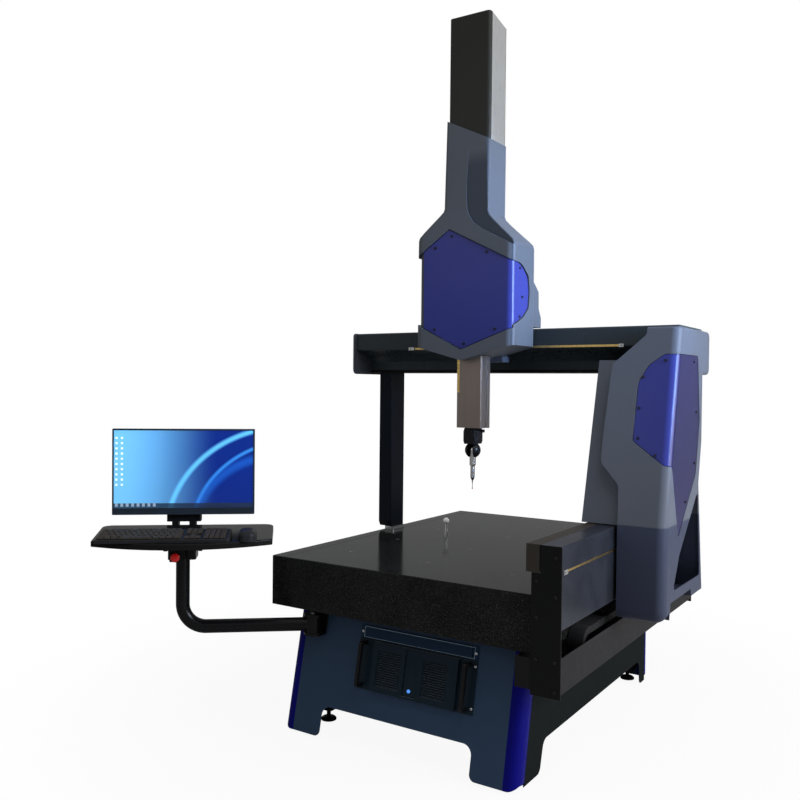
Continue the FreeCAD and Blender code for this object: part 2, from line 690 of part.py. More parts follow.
def arm_tube():
    """Bent steel tube on a hinge hub; it leaves the hub level and turns up to the workstation."""
    body = new_body("arm_tube")
    bend = dim.arm_bend_radius
    path = body.newObject("Sketcher::SketchObject", "Path")
    path.AttachmentSupport = (origin_plane(body, "XZ_Plane"), [""])
    path.MapMode = "FlatFace"
    reach, rise = dim.arm_reach, dim.arm_top - dim.arm_z
    bend_centre = Vector(bend.value - reach.value, bend.value, 0)
    level_run = path.addGeometry(Part.LineSegment(Vector(-15, 0, 0), Vector(bend_centre.x, 0, 0)), False)
    elbow = path.addGeometry(
        Part.ArcOfCircle(Part.Circle(bend_centre, Vector(0, 0, 1), bend.value), math.pi, 1.5 * math.pi), False)
    riser = path.addGeometry(
        Part.LineSegment(Vector(-reach.value, bend.value, 0), Vector(-reach.value, rise.value, 0)), False)
    path.addConstraint(Sketcher.Constraint("Tangent", level_run, 2, elbow, 2))
    path.addConstraint(Sketcher.Constraint("Tangent", elbow, 1, riser, 1))
    fix_point(path, level_run, 1, -15, 0)
    path.addConstraint(Sketcher.Constraint("Horizontal", level_run))
    fix_radius(path, elbow, bend)
    fix_point(path, riser, 2, -reach, rise)
    path.addConstraint(Sketcher.Constraint("Vertical", riser))
    ring = new_sketch(body, "YZ_Plane", [("circle", 0, 0, dim.arm_tube_radius)], -15)
    pipe = body.newObject("PartDesign::AdditivePipe", "Tube")
    pipe.Profile = ring
    pipe.Spine = (path, ["Edge1", "Edge2", "Edge3"])
    body.Tip = pipe
    pad(body, "XY_Plane", [("circle", 0, 0, 31)], -27.5, 55)
    pocket(body, "XY_Plane", [("circle", 0, 0, 10.3)], -40, 80)
    on_arm(body, 0, dim.arm_z)
    subpart(body)


def workstation_bracket():
    """Swivel block on top of the arm, with the plate that carries the tray and the screen."""
    body = new_body("workstation_bracket")
    low, high = dim.arm_top + 0.5, dim.tray_top - dim.tray_thickness
    pad(body, "XY_Plane", [rectangle(-50, -38, 50, 50, 8)], low, high - low - 6)
    pad(body, "XY_Plane", [rectangle(-110, -150, 110, 168, 12)], high - 6, 6)
    on_arm(body, dim.arm_reach, 0)
    subpart(body)


def estop_box():
    """Emergency stop housing on the front of the swivel block."""
    body = new_body("estop_box")
    loops = [rectangle(-38, dim.arm_top + 1, 16, dim.arm_top + 44, 5)]
    pad(body, "XZ_Plane", loops, -80, 41.7)
    pad(body, "XZ_Plane", [("circle", -16, dim.arm_top + 20, 12)], -85, 5)
    pocket(body, "XZ_Plane", [("circle", -16, dim.arm_top + 20, 8.4)], -87, 30)
    on_arm(body, dim.arm_reach, 0)
    subpart(body)


def estop_button():
    """Red mushroom head on a round plunger."""
    body = new_body("estop_button")
    turn(body, [(0, 0), (8, 0), (8, 22), (9.5, 24), (16, 25.5), (16, 31, 3), (8, 34.5), (0, 35)])
    turn_cos = Size(math.cos(math.radians(dim.arm_angle.value)), "cos(dims.arm_angle)")
    turn_sin = Size(math.sin(math.radians(dim.arm_angle.value)), "sin(dims.arm_angle)")
    across, out = 16, 67
    station_x = dim.arm_pivot_x - dim.arm_reach * turn_cos
    station_y = dim.arm_pivot_y - dim.arm_reach * turn_sin
    x = station_x - across * turn_cos + out * turn_sin
    y = station_y - across * turn_sin - out * turn_cos
    spin = Rotation(Vector(0, 0, 1), dim.arm_angle.value) * Rotation(Vector(1, 0, 0), 90)
    z = dim.arm_top + 20
    body.Placement = Placement(Vector(x.value, y.value, z.value), spin)
    for prop, number in (("x", x), ("y", y), ("z", z)):
        body.setExpression("Placement.Base." + prop, number.text)
    subpart(body)


def keyboard_tray():
    """Tray with a bowed front edge and round rear corners."""
    body = new_body("keyboard_tray")
    rear, front = dim.tray_rear, dim.tray_front
    outline = [(-300, rear, 38), (-272, front + 52, 14), (30, front - 100, 560), (331, front + 52, 14),
               (326, rear, 38)]
    pad(body, "XY_Plane", [outline], dim.tray_top - dim.tray_thickness, dim.tray_thickness)
    dress(body, "Fillet", 5, lambda e: lies_at(edge_box(e).ZMin, dim.tray_top))
    on_arm(body, dim.arm_reach, 0)
    subpart(body)


KEYBOARD_X, KEYBOARD_Y = -30, -242


def keyboard_case():
    """Wedge-shaped keyboard case with a recessed key field."""
    body = new_body("keyboard_case")
    top = dim.tray_top
    side = [(-70, top + 0.2), (70, top + 0.2), (70, top + 25, 4), (-70, top + 12, 4)]
    pad(body, "YZ_Plane", [side], -220, 440)
    dress(body, "Fillet", 8, lambda e: edge_box(e).ZLength > 5 and edge_box(e).YLength < 1)
    on_arm(body, dim.arm_reach, 0)
    shift_on_tray(body, KEYBOARD_X, KEYBOARD_Y)
    subpart(body)


def shift_on_tray(body, across, back):
    """Moves a placed body within the frame of the tray."""
    turn_cos = Size(math.cos(math.radians(dim.arm_angle.value)), "cos(dims.arm_angle)")
    turn_sin = Size(math.sin(math.radians(dim.arm_angle.value)), "sin(dims.arm_angle)")
    x = dim.arm_pivot_x - dim.arm_reach * turn_cos + across * turn_cos - back * turn_sin
    y = dim.arm_pivot_y - dim.arm_reach * turn_sin + across * turn_sin + back * turn_cos
    place(body, x, y, 0, (0, 0, 1), dim.arm_angle)


KEY_BANKS = ((-212, 15, 18.2), (70, 3, 18.2), (133, 4, 18.2))
KEY_ROWS, KEY_PITCH = 6, 19.6


def keyboard_keys():
    """Rows of keys in three banks: main field, cursor keys and number pad."""
    body = new_body("keyboard_keys")
    top = dim.tray_top + 15.2
    for row in range(KEY_ROWS):
        y = -62 + row * KEY_PITCH
        banks = []
        for start, count, pitch in KEY_BANKS:
            banks.append(rectangle(start, y, start + count * pitch - 1.2, y + KEY_PITCH - 1.6))
        pad(body, "XY_Plane", banks, top + row * 1.82, 3)
    shift_on_tray(body, KEYBOARD_X, KEYBOARD_Y)
    subpart(body)


def mouse():
    """Low rounded mouse shell with a flat sole."""
    body = new_body("mouse")
    outline = [(-29, -55, 24), (29, -55, 24), (31, 50, 28), (-31, 50, 28)]
    pad(body, "XY_Plane", [outline], dim.tray_top + 0.2, 34)
    dress(body, "Fillet", 17, lambda e: lies_at(edge_box(e).ZMin, dim.tray_top + 34.2))
    shift_on_tray(body, 247, -250)
    subpart(body)


MONITOR_HINGE_Z, MONITOR_HINGE_Y = 320, 136


def monitor_stand():
    """Clamp block behind the tray with a neck that ends in the fork of the tilt hinge."""
    body = new_body("monitor_stand")
    plate = dim.tray_top - dim.tray_thickness
    pad(body, "XY_Plane", [rectangle(-75, 109, 51, 160, 6)], plate + 26, 32)
    legs = [rectangle(-56, 112, -32, 156), rectangle(8, 112, 32, 156)]
    pad(body, "XY_Plane", legs, plate, 30)
    neck = [rectangle(-26, MONITOR_HINGE_Y + 6, 26, MONITOR_HINGE_Y + 24, 3)]
    pad(body, "XY_Plane", neck, plate + 50, MONITOR_HINGE_Z - plate - 50 - 14)
    ear = [(MONITOR_HINGE_Y - 10, MONITOR_HINGE_Z - 14), (MONITOR_HINGE_Y + 24, MONITOR_HINGE_Z - 30),
           (MONITOR_HINGE_Y + 24, MONITOR_HINGE_Z + 10, 8), (MONITOR_HINGE_Y - 10, MONITOR_HINGE_Z + 10, 8)]
    for start in (-26, 16):
        pad(body, "YZ_Plane", [ear], start, 10)
    pad(body, "YZ_Plane", [("circle", MONITOR_HINGE_Y, MONITOR_HINGE_Z, 4)], -26, 52)
    on_arm(body, dim.arm_reach, 0)
    subpart(body)


def monitor_case():
    """Flat screen housing: thin rim, crowned back, mounting boss and hinge barrel."""
    body = new_body("monitor_case")
    low, high, face = dim.monitor_bottom, dim.monitor_top, dim.monitor_face
    left, right = dim.monitor_left, dim.monitor_left + dim.monitor_width
    pad(body, "XZ_Plane", [rectangle(left, low, right, high, 3)], face, 16)
    pad(body, "XZ_Plane", [rectangle(-200, low + 50, 200, high - 60, 20)], face + 16, 18)
    dress(body, "Chamfer", 14, lambda e: lies_at(edge_box(e).YMin, dim.monitor_face + 34) and edge_box(e).YLength < 0.1)
    pocket(body, "XZ_Plane", [rectangle(left + 6, low + 25, right - 6, high - 6)], face - 1, 4)
    pad(body, "XZ_Plane", [rectangle(-50, MONITOR_HINGE_Z - 50, 50, MONITOR_HINGE_Z + 50, 4)], face + 34, 6)
    barrel = [(face + 38, MONITOR_HINGE_Z - 12), (MONITOR_HINGE_Y + 9, MONITOR_HINGE_Z - 9, 8.9),
              (MONITOR_HINGE_Y + 9, MONITOR_HINGE_Z + 9, 8.9), (face + 38, MONITOR_HINGE_Z + 12)]
    pad(body, "YZ_Plane", [barrel, ("circle", MONITOR_HINGE_Y, MONITOR_HINGE_Z, 4.3)], -15.5, 31)
    on_arm(body, dim.arm_reach, 0)
    subpart(body)


def monitor_screen():
    """Display panel, set in the rim of the housing."""
    body = new_body("monitor_screen")
    left, right = dim.monitor_left + 6.3, dim.monitor_left + dim.monitor_width - 6.3
    low, high = dim.monitor_bottom + 25.3, dim.monitor_top - 6.3
    pad(body, "XZ_Plane", [rectangle(left, low, right, high)], dim.monitor_face + 0.8, 2)
    on_arm(body, dim.arm_reach, 0)
    subpart(body)


# ---------------------------------------------------------------- bridge

def left_leg():
    """Idle leg of the bridge: box section with a tapered foot."""
    body = new_body("left_leg")
    x, y = dim.leg_left_x, dim.leg_left_front
    pad(body, "XY_Plane", [rectangle(x, y, x + dim.leg_left_width, y + dim.leg_left_depth, 5)], 14,
        dim.base_plate_bottom - 14)
    foot = [(y - 1, 13), (y + 14, 13), (y - 1, 40)]
    pocket(body, "YZ_Plane", [foot], x - 1, dim.leg_left_width + 2)
    subpart(body)


def left_air_bearing():
    """Round-cornered air bearing pad that carries the left leg on the granite."""
    body = new_body("left_air_bearing")
    y = dim.leg_left_front
    pad(body, "XY_Plane", [rectangle(-546, y + 4, -498, y + 102, 10)], 0.4, 13.6)
    subpart(body)


def bridge_beam():
    """Cross beam: deep box with an overhanging nose that the carriage grips."""
    body = new_body("bridge_beam")
    section = [(dim.beam_front, dim.beam_nose, 6), (dim.beam_throat_y - 34, dim.beam_throat_z + 12, 30),
               (dim.beam_throat_y, dim.beam_throat_z - 14, 16), (dim.beam_throat_y, dim.beam_bottom),
               (dim.beam_rear, dim.beam_bottom), (dim.beam_rear, dim.beam_top, 10), (dim.beam_front, dim.beam_top, 8)]
    pad(body, "YZ_Plane", [section], dim.beam_left, dim.beam_right - dim.beam_left)
    subpart(body)


def beam_base_plate():
    """Black plate under the beam that the legs bolt to."""
    body = new_body("beam_base_plate")
    section = rectangle(dim.beam_throat_y + 0.5, dim.base_plate_bottom, dim.beam_rear - 1, dim.beam_bottom)
    pad(body, "YZ_Plane", [section], dim.beam_left, dim.beam_right - dim.beam_left)
    subpart(body)


def x_scale():
    """Gold-coloured grating tape on the nose of the beam."""
    body = new_body("x_scale")
    pad(body, "XZ_Plane", [rectangle(-325, 804, 569, 812)], dim.beam_front - 0.5, 0.5)
    subpart(body)


def x_scale_clips():
    """Clamps at the ends of the X tape."""
    body = new_body("x_scale_clips")
    for start, width in ((-356, 28), (569.5, 19)):
        loops = [rectangle(start, 802, start + width, 814, 2), ("circle", start + 10, 808, 2.5)]
        pad(body, "XZ_Plane", loops, dim.beam_front - 3, 3)
    subpart(body)


def cap_outline(front, rear, low, high):
    return [(front, low, 22), (rear, low, 22), (rear, high, 30), (front, high, 14)]


def left_end_cap():
    """Moulded cap over the left end of the beam."""
    body = new_body("left_end_cap")
    outline = cap_outline(dim.beam_front - 17.5, dim.beam_rear + 18, dim.base_plate_bottom - 8, dim.beam_top + 1)
    pad(body, "YZ_Plane", [outline], dim.beam_left - 8, 7.7)
    subpart(body)


def right_leg():
    """Powered leg: raked casting between the guide and the beam, notched under the nose."""
    body = new_body("right_leg")
    foot = dim.guide_top + 2
    top = dim.base_plate_bottom
    outline = [(-262, foot), (-104, 752), (dim.beam_throat_y - 12, 752), (dim.beam_throat_y - 12, top),
               (146, top), (140, 470), (186, foot)]
    pad(body, "YZ_Plane", [outline], dim.leg_right_x, dim.leg_right_width)
    subpart(body)


def bearing_block():
    """Outrigger of the powered leg down the outside of the guide, with the chain bracket."""
    body = new_body("bearing_block")
    x = dim.leg_right_x + dim.leg_right_width
    pad(body, "XZ_Plane", [rectangle(x + 0.5, -76, x + 62, 300)], -250, 355)
    pad(body, "XZ_Plane", [rectangle(556, -146, x + 62, -110)], -60, 65)
    pad(body, "XZ_Plane", [rectangle(x + 20, -146, x + 62, -75)], -60, 65)
    pad(body, "XZ_Plane", [rectangle(x + 6, -76, x + 56, 80)], 104, 40)
    subpart(body)


COVER_LOW = -151


def cover_side(inset):
    """Side profile of the right cover: upright box, leaning face, and the cap past the beam."""
    front, low, top, i = dim.cover_front_y, COVER_LOW, dim.beam_top - 10, inset
    return [(front + i, low + i), (front + i, 177), (-143 + i, top - i),
            (256 - i, top - i, 24 - i), (256 - i, 703 + i, 24 - i), (151 - i, 703 + i),
            (151 - i, 452), (117 - i, 296), (186 - i, -115 + i), (40, -115 + i),
            (28, low + 63 + i), (-226, low + 63 + i), (-240, low + i)]


def cover_solid(label, inset, extra=0):
    """Solid inside the outer skin of the right cover, set in by a distance."""
    body = new_body(label)
    inner = 560
    outer = dim.cover_outer_x - inset
    pad(body, "YZ_Plane", [cover_side(inset)], inner, outer - inner)
    low = COVER_LOW + inset
    corner = [(outer - 60, low - 10), (outer + 10, low - 10), (outer + 10, low + 60), (outer, low + 60),
              (outer, low, 40 - inset), (outer - 60, low)]
    pocket(body, "XZ_Plane", [corner], -310, 71.5)
    dress(body, "Fillet", 34 - inset, lambda e: on_outer_side(e, outer) and edge_box(e).YMax < -130
          and edge_box(e).ZLength > 200)
    dress(body, "Fillet", 10 - inset, lambda e: on_outer_side(e, outer) and edge_box(e).ZMin > 700
          and edge_box(e).YMax > 200)
    return body


def on_outer_side(edge, outer):
    return lies_at(edge_box(edge).XMin, outer) and lies_at(edge_box(edge).XMax, outer)


def beam_clearance():
    """Tool that opens the cover for the beam and for the leg that carries it."""
    body = new_body("beam_clearance")
    pad(body, "XZ_Plane", [rectangle(500, 690, 790.5, 920)], -110, 420)
    pad(body, "XZ_Plane", [rectangle(500, -200, 641.5, 700)], -100, 420)
    pad(body, "XZ_Plane", [rectangle(500, -160, 703.5, -80)], -62, 69)
    return body


def cover_front_cut():
    """Tool that trims the inner edge of the cover's face to its stepped outline."""
    body = new_body("cover_front_cut")
    edge = [(500, -200), (dim.cover_inner_x, -200), (dim.cover_inner_x, 200), (640, 310, 26), (569, 385, 26),
            (568, 470), (578, 735, 40), (695, 842, 22), (695, 900), (500, 900)]
    pad(body, "XZ_Plane", [edge], -330, 700)
    return body


def cover_window():
    """Tool for the triangular opening behind the drive housing."""
    body = new_body("cover_window")
    opening = [(-200, -52, 14), (152, -57, 10), (112, 262, 12), (88, 250, 20), (-128, 62, 20)]
    pad(body, "YZ_Plane", [opening], 540, 300)
    return body


def blue_outline_front(gap):
    """Panel outline seen from the front, grown by a gap."""
    g = gap
    return [(712 - g, 731 + g * 0.5, 40), (680 - g, 672, 60), (677 - g, 466 - g, 16), (800 - g, 380 - g),
            (800 - g, 100), (840, 100), (840, 770 + g), (765, 770 + g, 12)]


def blue_outline_side(gap):
    """Panel outline seen from the right side, grown by a gap."""
    g = gap
    return [(-330, 772 + g), (84 + g, 772 + g, 26), (120 + g, 532, 60), (74 + g, 330, 60), (-146, 128 - g * 3, 10),
            (-206, 300 - g * 3, 60), (-232, 382 - g), (-330, 400 - g)]


def blue_region(label, gap):
    """Everything that projects inside both outlines of the blue panel."""
    front = new_body(label + "_front")
    pad(front, "XZ_Plane", [blue_outline_front(gap)], -340, 520)
    side = new_body(label + "_side")
    pad(side, "YZ_Plane", [blue_outline_side(gap)], 600, 240)
    return boolean("MultiCommon", label, [front, side])


def right_cover_and_panel():
    """Moulded cover of the powered leg and the blue panel that is let into its corner."""
    shell = boolean("Cut", "cover_shell", [cover_solid("cover_skin", 0), cover_solid("cover_core", 4)])
    trimmed = boolean("Cut", "cover_trimmed", [shell, cover_front_cut()])
    cleared = boolean("Cut", "cover_cleared", [trimmed, beam_clearance()])
    opened = boolean("Cut", "cover_opened", [cleared, cover_window()])
    subpart(boolean("Cut", "right_cover", [opened, blue_region("panel_seat", 1.5)]))
    layer = boolean("Cut", "panel_layer", [cover_solid("panel_skin", 1.5), cover_solid("panel_core", 4.5)])
    subpart(boolean("MultiCommon", "blue_side_panel", [layer, blue_region("panel_region", 0)]))


# ---------------------------------------------------------------- carriage and head housing

def carriage_block():
    """Carriage casting: bearing plate on the nose of the beam, keepers and the ram guide."""
    body = new_body("carriage_block")
    nose = dim.beam_front - 6
    hook = [(nose - 14, 822), (nose, 822), (nose, dim.beam_top + 3), (-30, dim.beam_top + 3), (-30, 912), (nose - 14, 912)]
    pad(body, "YZ_Plane", [hook], -150, 340)
    keeper = [(nose - 14, 748), (-36, 748), (-36, 770), (nose, 784), (nose, 823), (nose - 14, 823)]
    pad(body, "YZ_Plane", [keeper], -60, 160)
    x, y = dim.ram_x, dim.ram_y
    half_w, half_d = dim.ram_width / 2, dim.ram_depth / 2
    guide = [rectangle(x - half_w - 17, y - half_d - 17, x + half_w + 17, y + half_d + 17),
             rectangle(x - half_w - 1, y - half_d - 1, x + half_w + 1, y + half_d + 1)]
    pad(body, "XY_Plane", guide, 830, 330)
    back = y + half_d + 17
    webs = [rectangle(x - 70, back - 1, x - 50, nose - 13), rectangle(x + 50, back - 1, x + 70, nose - 13)]
    pad(body, "XY_Plane", webs, 830, 82)
    subpart(body)


def shoulder_section(body, level, tilt, closing):
    """Plan section of the shoulders, tilted across; it closes from the box in to the tower."""
    left, right = dim.head_x - dim.head_half_width, dim.head_x + dim.head_half_width
    front, rear = dim.head_front, dim.head_rear
    tower_f = front + 5
    tower_b = tower_f + dim.tower_depth
    outline = rectangle(left + (dim.tower_left - left) * closing, front + (tower_f - front) * closing,
                        right + (dim.tower_right - right) * closing, rear + (tower_b - rear) * closing,
                        30 - 14 * closing)
    section = new_sketch(body, "XY_Plane", [outline], level)
    middle = dim.head_x * math.sin(math.radians(tilt))
    section.AttachmentOffset = Placement(Vector(0, 0, (level + middle).value), Rotation(Vector(0, 1, 0), tilt))
    section.setExpression("AttachmentOffset.Base.z", (level + middle).text)
    return section


def loft(body, label, sections, ruled):
    feature = body.newObject("PartDesign::AdditiveLoft", label)
    feature.Profile = sections[0]
    feature.Sections = sections[1:]
    feature.Ruled = ruled
    body.Tip = feature
    return feature


def head_skin():
    """Outer form of the head housing: hexagonal box, flared lopsided shoulders and the tower."""
    body = new_body("head_skin")
    left, right = dim.head_x - dim.head_half_width, dim.head_x + dim.head_half_width
    front, rear = dim.head_front, dim.head_rear
    tower_f = dim.head_front + 5
    tower_b = tower_f + dim.tower_depth
    box_low, shoulder = dim.head_apex_low, dim.head_shoulder
    pad(body, "XY_Plane", [rectangle(left, front, right, rear, 30)], box_low, shoulder - 20 - box_low)
    edge = shoulder + 6
    loft(body, "Rim", [shoulder_section(body, shoulder - 20, 0, 0), shoulder_section(body, edge, 5, 0)], True)
    rise = 122
    steps = ((0.0, 0.0), (0.1, 0.035), (0.25, 0.2), (0.5, 0.5), (0.75, 0.8), (0.9, 0.96), (1.0, 1.0))
    sections = []
    for step, closing in steps:
        sections.append(shoulder_section(body, edge + rise * step, 5 + 3 * closing, closing))
    loft(body, "Shoulders", sections, True)
    high, low = dim.tower_top_left, dim.tower_top_right
    foot = shoulder_section(body, edge + rise, 8, 1)
    top = new_sketch(body, "XY_Plane", [rectangle(dim.tower_left + 9, tower_f, dim.tower_right, tower_b, 16)], high)
    loft(body, "Tower", [foot, top], True)
    slope = [(dim.tower_left, high + 2.5), (dim.tower_right + 5, low - 2.5), (dim.tower_right + 5, high + 30),
             (dim.tower_left, high + 30)]
    pocket(body, "XZ_Plane", [slope], front - 10, 400)
    apex_x = dim.head_x - 8
    for side, corner in ((left, dim.head_corner_low), (right, dim.head_corner_low)):
        outward = -20 if side is left else 20
        drop = [(apex_x, box_low - 1), (side + outward, corner + (corner - box_low) * 0.1), (side + outward, box_low - 1)]
        pocket(body, "XZ_Plane", [drop], front - 10, 400)
    return body


def head_cavity():
    """Space inside the housing and the tower for the carriage, ram and column."""
    body = new_body("head_cavity")
    left, right = dim.head_x - dim.head_half_width, dim.head_x + dim.head_half_width
    pad(body, "XY_Plane", [rectangle(left + 17, dim.head_front + 17, right - 17, dim.head_rear - 7)], 816,
        dim.head_shoulder - 824)
    pad(body, "XY_Plane", [rectangle(left + 17, dim.head_rear - 20, right - 17, dim.head_rear + 1)], 816, 236)
    shaft = rectangle(dim.column_left - 1.5, dim.column_front - 1.5, dim.column_right + 1.5, dim.column_rear + 1, 8)
    pad(body, "XY_Plane", [shaft], dim.head_shoulder - 40, 700)
    x, y = dim.ram_x, dim.ram_y
    half_w, half_d = dim.ram_width / 2 + 4, dim.ram_depth / 2 + 4
    pad(body, "XY_Plane", [rectangle(x - half_w, y - half_d, x + half_w, y + half_d)], 700, 200)
    behind = dim.beam_front - 20.5 - 1
    pad(body, "XY_Plane", [rectangle(-62, behind, 102, dim.head_rear + 5)], 740, 100)
    return body


def hex_side(gap):
    """Reach of the head panel round the right side of the housing."""
    g = gap
    return [(-340, 1300), (-285, 1300), (-285, 1122 + g), (-254, 1119 + g), (-214, 1105 + g, 40),
            (-169 + g, 1072 + g, 26), (-157 + g, 1020, 60), (-165 + g, 953 - g, 26), (-213, 915 - g, 40),
            (-264, 893 - g), (-285, 884 - g), (-285, 760), (-340, 760)]


def hex_region(label, gap):
    front = new_body(label + "_front")
    pad(front, "XZ_Plane", [hex_front(gap)], -340, 240)
    side = new_body(label + "_side")
    pad(side, "YZ_Plane", [hex_side(gap)], -260, 560)
    return boolean("MultiCommon", label, [front, side])


def hex_front(gap):
    """Hexagon of the panel from the front; its right side runs on round the corner."""
    g = gap
    return [(-37, 1256 + g * 1.2, 12), (-153 - g, 1178 + g * 0.7, 12), (-151 - g, 879 - g * 0.7, 12),
            (18, 794 - g * 1.1, 8), (300, 897 - g), (300, 1086 + g)]


def left_wrap(label, gap):
    """Reach of the recess round the left corner of the housing."""
    front = new_body(label + "_front")
    edge = [(-37, 1256 + gap * 1.2), (-230, 1126 + gap * 1.2), (-230, 919 - gap * 1.1), (18, 794 - gap * 1.1)]
    pad(front, "XZ_Plane", [edge], -340, 240)
    side = new_body(label + "_side")
    pad(side, "YZ_Plane", [rectangle(-340, 700, -232, 1300)], -260, 240)
    return boolean("MultiCommon", label, [front, side])


def plan_layer(label, outer, inner):
    """Upright U-shaped layer that follows the skin of the housing between two insets."""
    body = new_body(label)
    left, right = dim.head_x - dim.head_half_width, dim.head_x + dim.head_half_width
    front = dim.head_front
    pad(body, "XY_Plane", [rectangle(left + outer, front + outer, right - outer, -100, 30 - outer)], 740, 540)
    pocket(body, "XY_Plane", [rectangle(left + inner, front + inner, right - inner, -60, 30 - inner)], 730, 560)
    return body


def head_cover_and_panel():
    """Moulded head housing with the tower, and the blue panel that wraps round its front."""
    hollow = boolean("Cut", "head_hollow", [head_skin(), head_cavity()])
    seat_layer = plan_layer("seat_layer", -6, 12)
    reach = boolean("MultiFuse", "seat_reach", [hex_region("seat_region", 3), left_wrap("seat_left", 3)])
    seat = boolean("MultiCommon", "head_seat", [seat_layer, reach])
    recessed = boolean("Cut", "head_recessed", [hollow, seat])
    subpart(boolean("Cut", "head_cover", [recessed, tower_groove()]))
    panel_layer = plan_layer("panel_plan", 4, 11.7)
    subpart(boolean("MultiCommon", "head_panel", [panel_layer, hex_region("panel_hex", 0)]))


def tower_groove():
    """Tapering step on the right of the tower front, which runs out along the right shoulder."""
    body = new_body("tower_groove")
    start = 1590
    border = [(46, 10), (34, 1403 - start, 200), (40, 1318 - start, 90), (64, 1278 - start, 40),
              (103, 1251 - start, 60), (240, 1178 - start), (300, 1178 - start), (300, 10)]
    pad(body, "XZ_Plane", [border], -60, 60)
    place(body, 0, dim.head_front + 5, start, (1, 0, 0), 1.11)
    return body


def above_slope(margin, drop):
    """Region above the sloping top of the column, in the YZ plane."""
    front, rear = dim.column_front - margin, dim.column_rear + margin
    return [(front, dim.column_top - drop), (front, 2120), (rear, 2120), (rear, dim.column_top_rear - drop)]


def column_cover():
    """Black upper cover of the ram, with a sloping top and recesses for the side sheets."""
    body = new_body("column_cover")
    left, right, front, rear = dim.column_left, dim.column_right, dim.column_front, dim.column_rear
    low = dim.head_shoulder - 30
    plan = [(left, front, 10), (right, front, 15), (right, rear, 8), (left, rear, 8)]
    pad(body, "XY_Plane", [plan], low, 2090 - low)
    pocket(body, "YZ_Plane", [above_slope(0, 0)], left - 5, right - left + 10)
    sides = [rectangle(left - 1, front + 17, left + 2.2, rear - 8), rectangle(right - 2.2, front + 17, right + 1, rear - 8)]
    pocket(body, "XY_Plane", sides, low - 1, 2100 - low)
    inner = [(left + 4, front + 4, 6), (right - 4, front + 4, 11), (right - 4, rear - 4, 4), (left + 4, rear - 4, 4)]
    pocket(body, "XY_Plane", [inner], low - 1, 2037 - low)
    subpart(body)


def column_sides():
    """Bright side sheets of the column, cut off along its sloping top."""
    body = new_body("column_sides")
    left, right = dim.column_left, dim.column_right
    front, rear = dim.column_front + 17.3, dim.column_rear - 8.3
    low = dim.head_shoulder - 30
    for start in (left + 0.1, right - 2.1):
        pad(body, "YZ_Plane", [rectangle(front, low, rear, 2090)], start, 2)
    pocket(body, "YZ_Plane", [above_slope(0, 1)], left - 5, right - left + 10)
    subpart(body)


def carriage_rear_cover():
    """Small moulded cover over the top bearing of the carriage."""
    body = new_body("carriage_rear_cover")
    right = dim.head_x + dim.head_half_width
    skin = [(dim.head_rear + 0.4, dim.beam_top + 6), (-20, dim.beam_top + 6), (-20, 925, 8), (-42, 960, 20),
            (-44, 1026, 10), (dim.head_rear + 0.4, 1064)]
    pad(body, "YZ_Plane", [skin], right - 420, 408)
    core = [(-150, dim.beam_top - 10), (-26, dim.beam_top - 10), (-26, 918), (-52, 950), (-52, 1020), (-150, 1050)]
    pocket(body, "YZ_Plane", [core], right - 416, 400)
    subpart(body)


# ---------------------------------------------------------------- ram and probe

def ram():
    """Anodised extrusion of the vertical axis, slotted down its sides."""
    body = new_body("ram")
    x, y = dim.ram_x, dim.ram_y
    half_w, half_d = dim.ram_width / 2, dim.ram_depth / 2
    pad(body, "XY_Plane", [rectangle(x - half_w, y - half_d, x + half_w, y + half_d, 2)], dim.ram_bottom,
        dim.ram_top - dim.ram_bottom)
    slots = [rectangle(x + half_w - 1.6, y - half_d + 3, x + half_w + 1, y - half_d + 8),
             rectangle(x + half_w - 3, y - 6, x + half_w + 1, y + 12),
             rectangle(x - half_w - 1, y - 6, x - half_w + 3, y + 12)]
    pocket(body, "XY_Plane", slots, dim.ram_bottom - 1, dim.ram_top - dim.ram_bottom + 2)
    subpart(body)


def z_scale():
    """Gold-coloured grating tape on the ram with its end clamp."""
    body = new_body("z_scale")
    left = dim.ram_x - dim.ram_width / 2 + 1
    front = dim.ram_y - dim.ram_depth / 2
    pad(body, "XZ_Plane", [rectangle(left, 626, left + 11, 1765)], front - 0.6, 0.6)
    subpart(body)


def probe_body():
    """Fixed upper half of the indexing head: square body with chamfered corners and a socket."""
    body = new_body("probe_body")
    x, y = dim.ram_x, dim.ram_y
    low, high = dim.probe_ball_z + 25, dim.ram_bottom
    front = [(x - 31, low + 12), (x - 22, low), (x + 22, low), (x + 31, low + 12), (x + 31, high - 14),
             (x + 20, high), (x - 20, high), (x - 31, high - 14)]
    pad(body, "XZ_Plane", [front], y - 31, 62)
    dress(body, "Chamfer", 9, lambda e: edge_box(e).ZLength > 20 and edge_box(e).XLength < 0.1)
    pad(body, "XZ_Plane", [("circle", x, low + 32, 20)], y - 33.5, 3)
    pocket(body, "XZ_Plane", [("circle", x, low + 32, 15)], y - 34, 2)
    pad(body, "YZ_Plane", [rectangle(y + 4, high - 18, y + 16, high - 6, 4)], x + 30, 14)
    subpart(body)


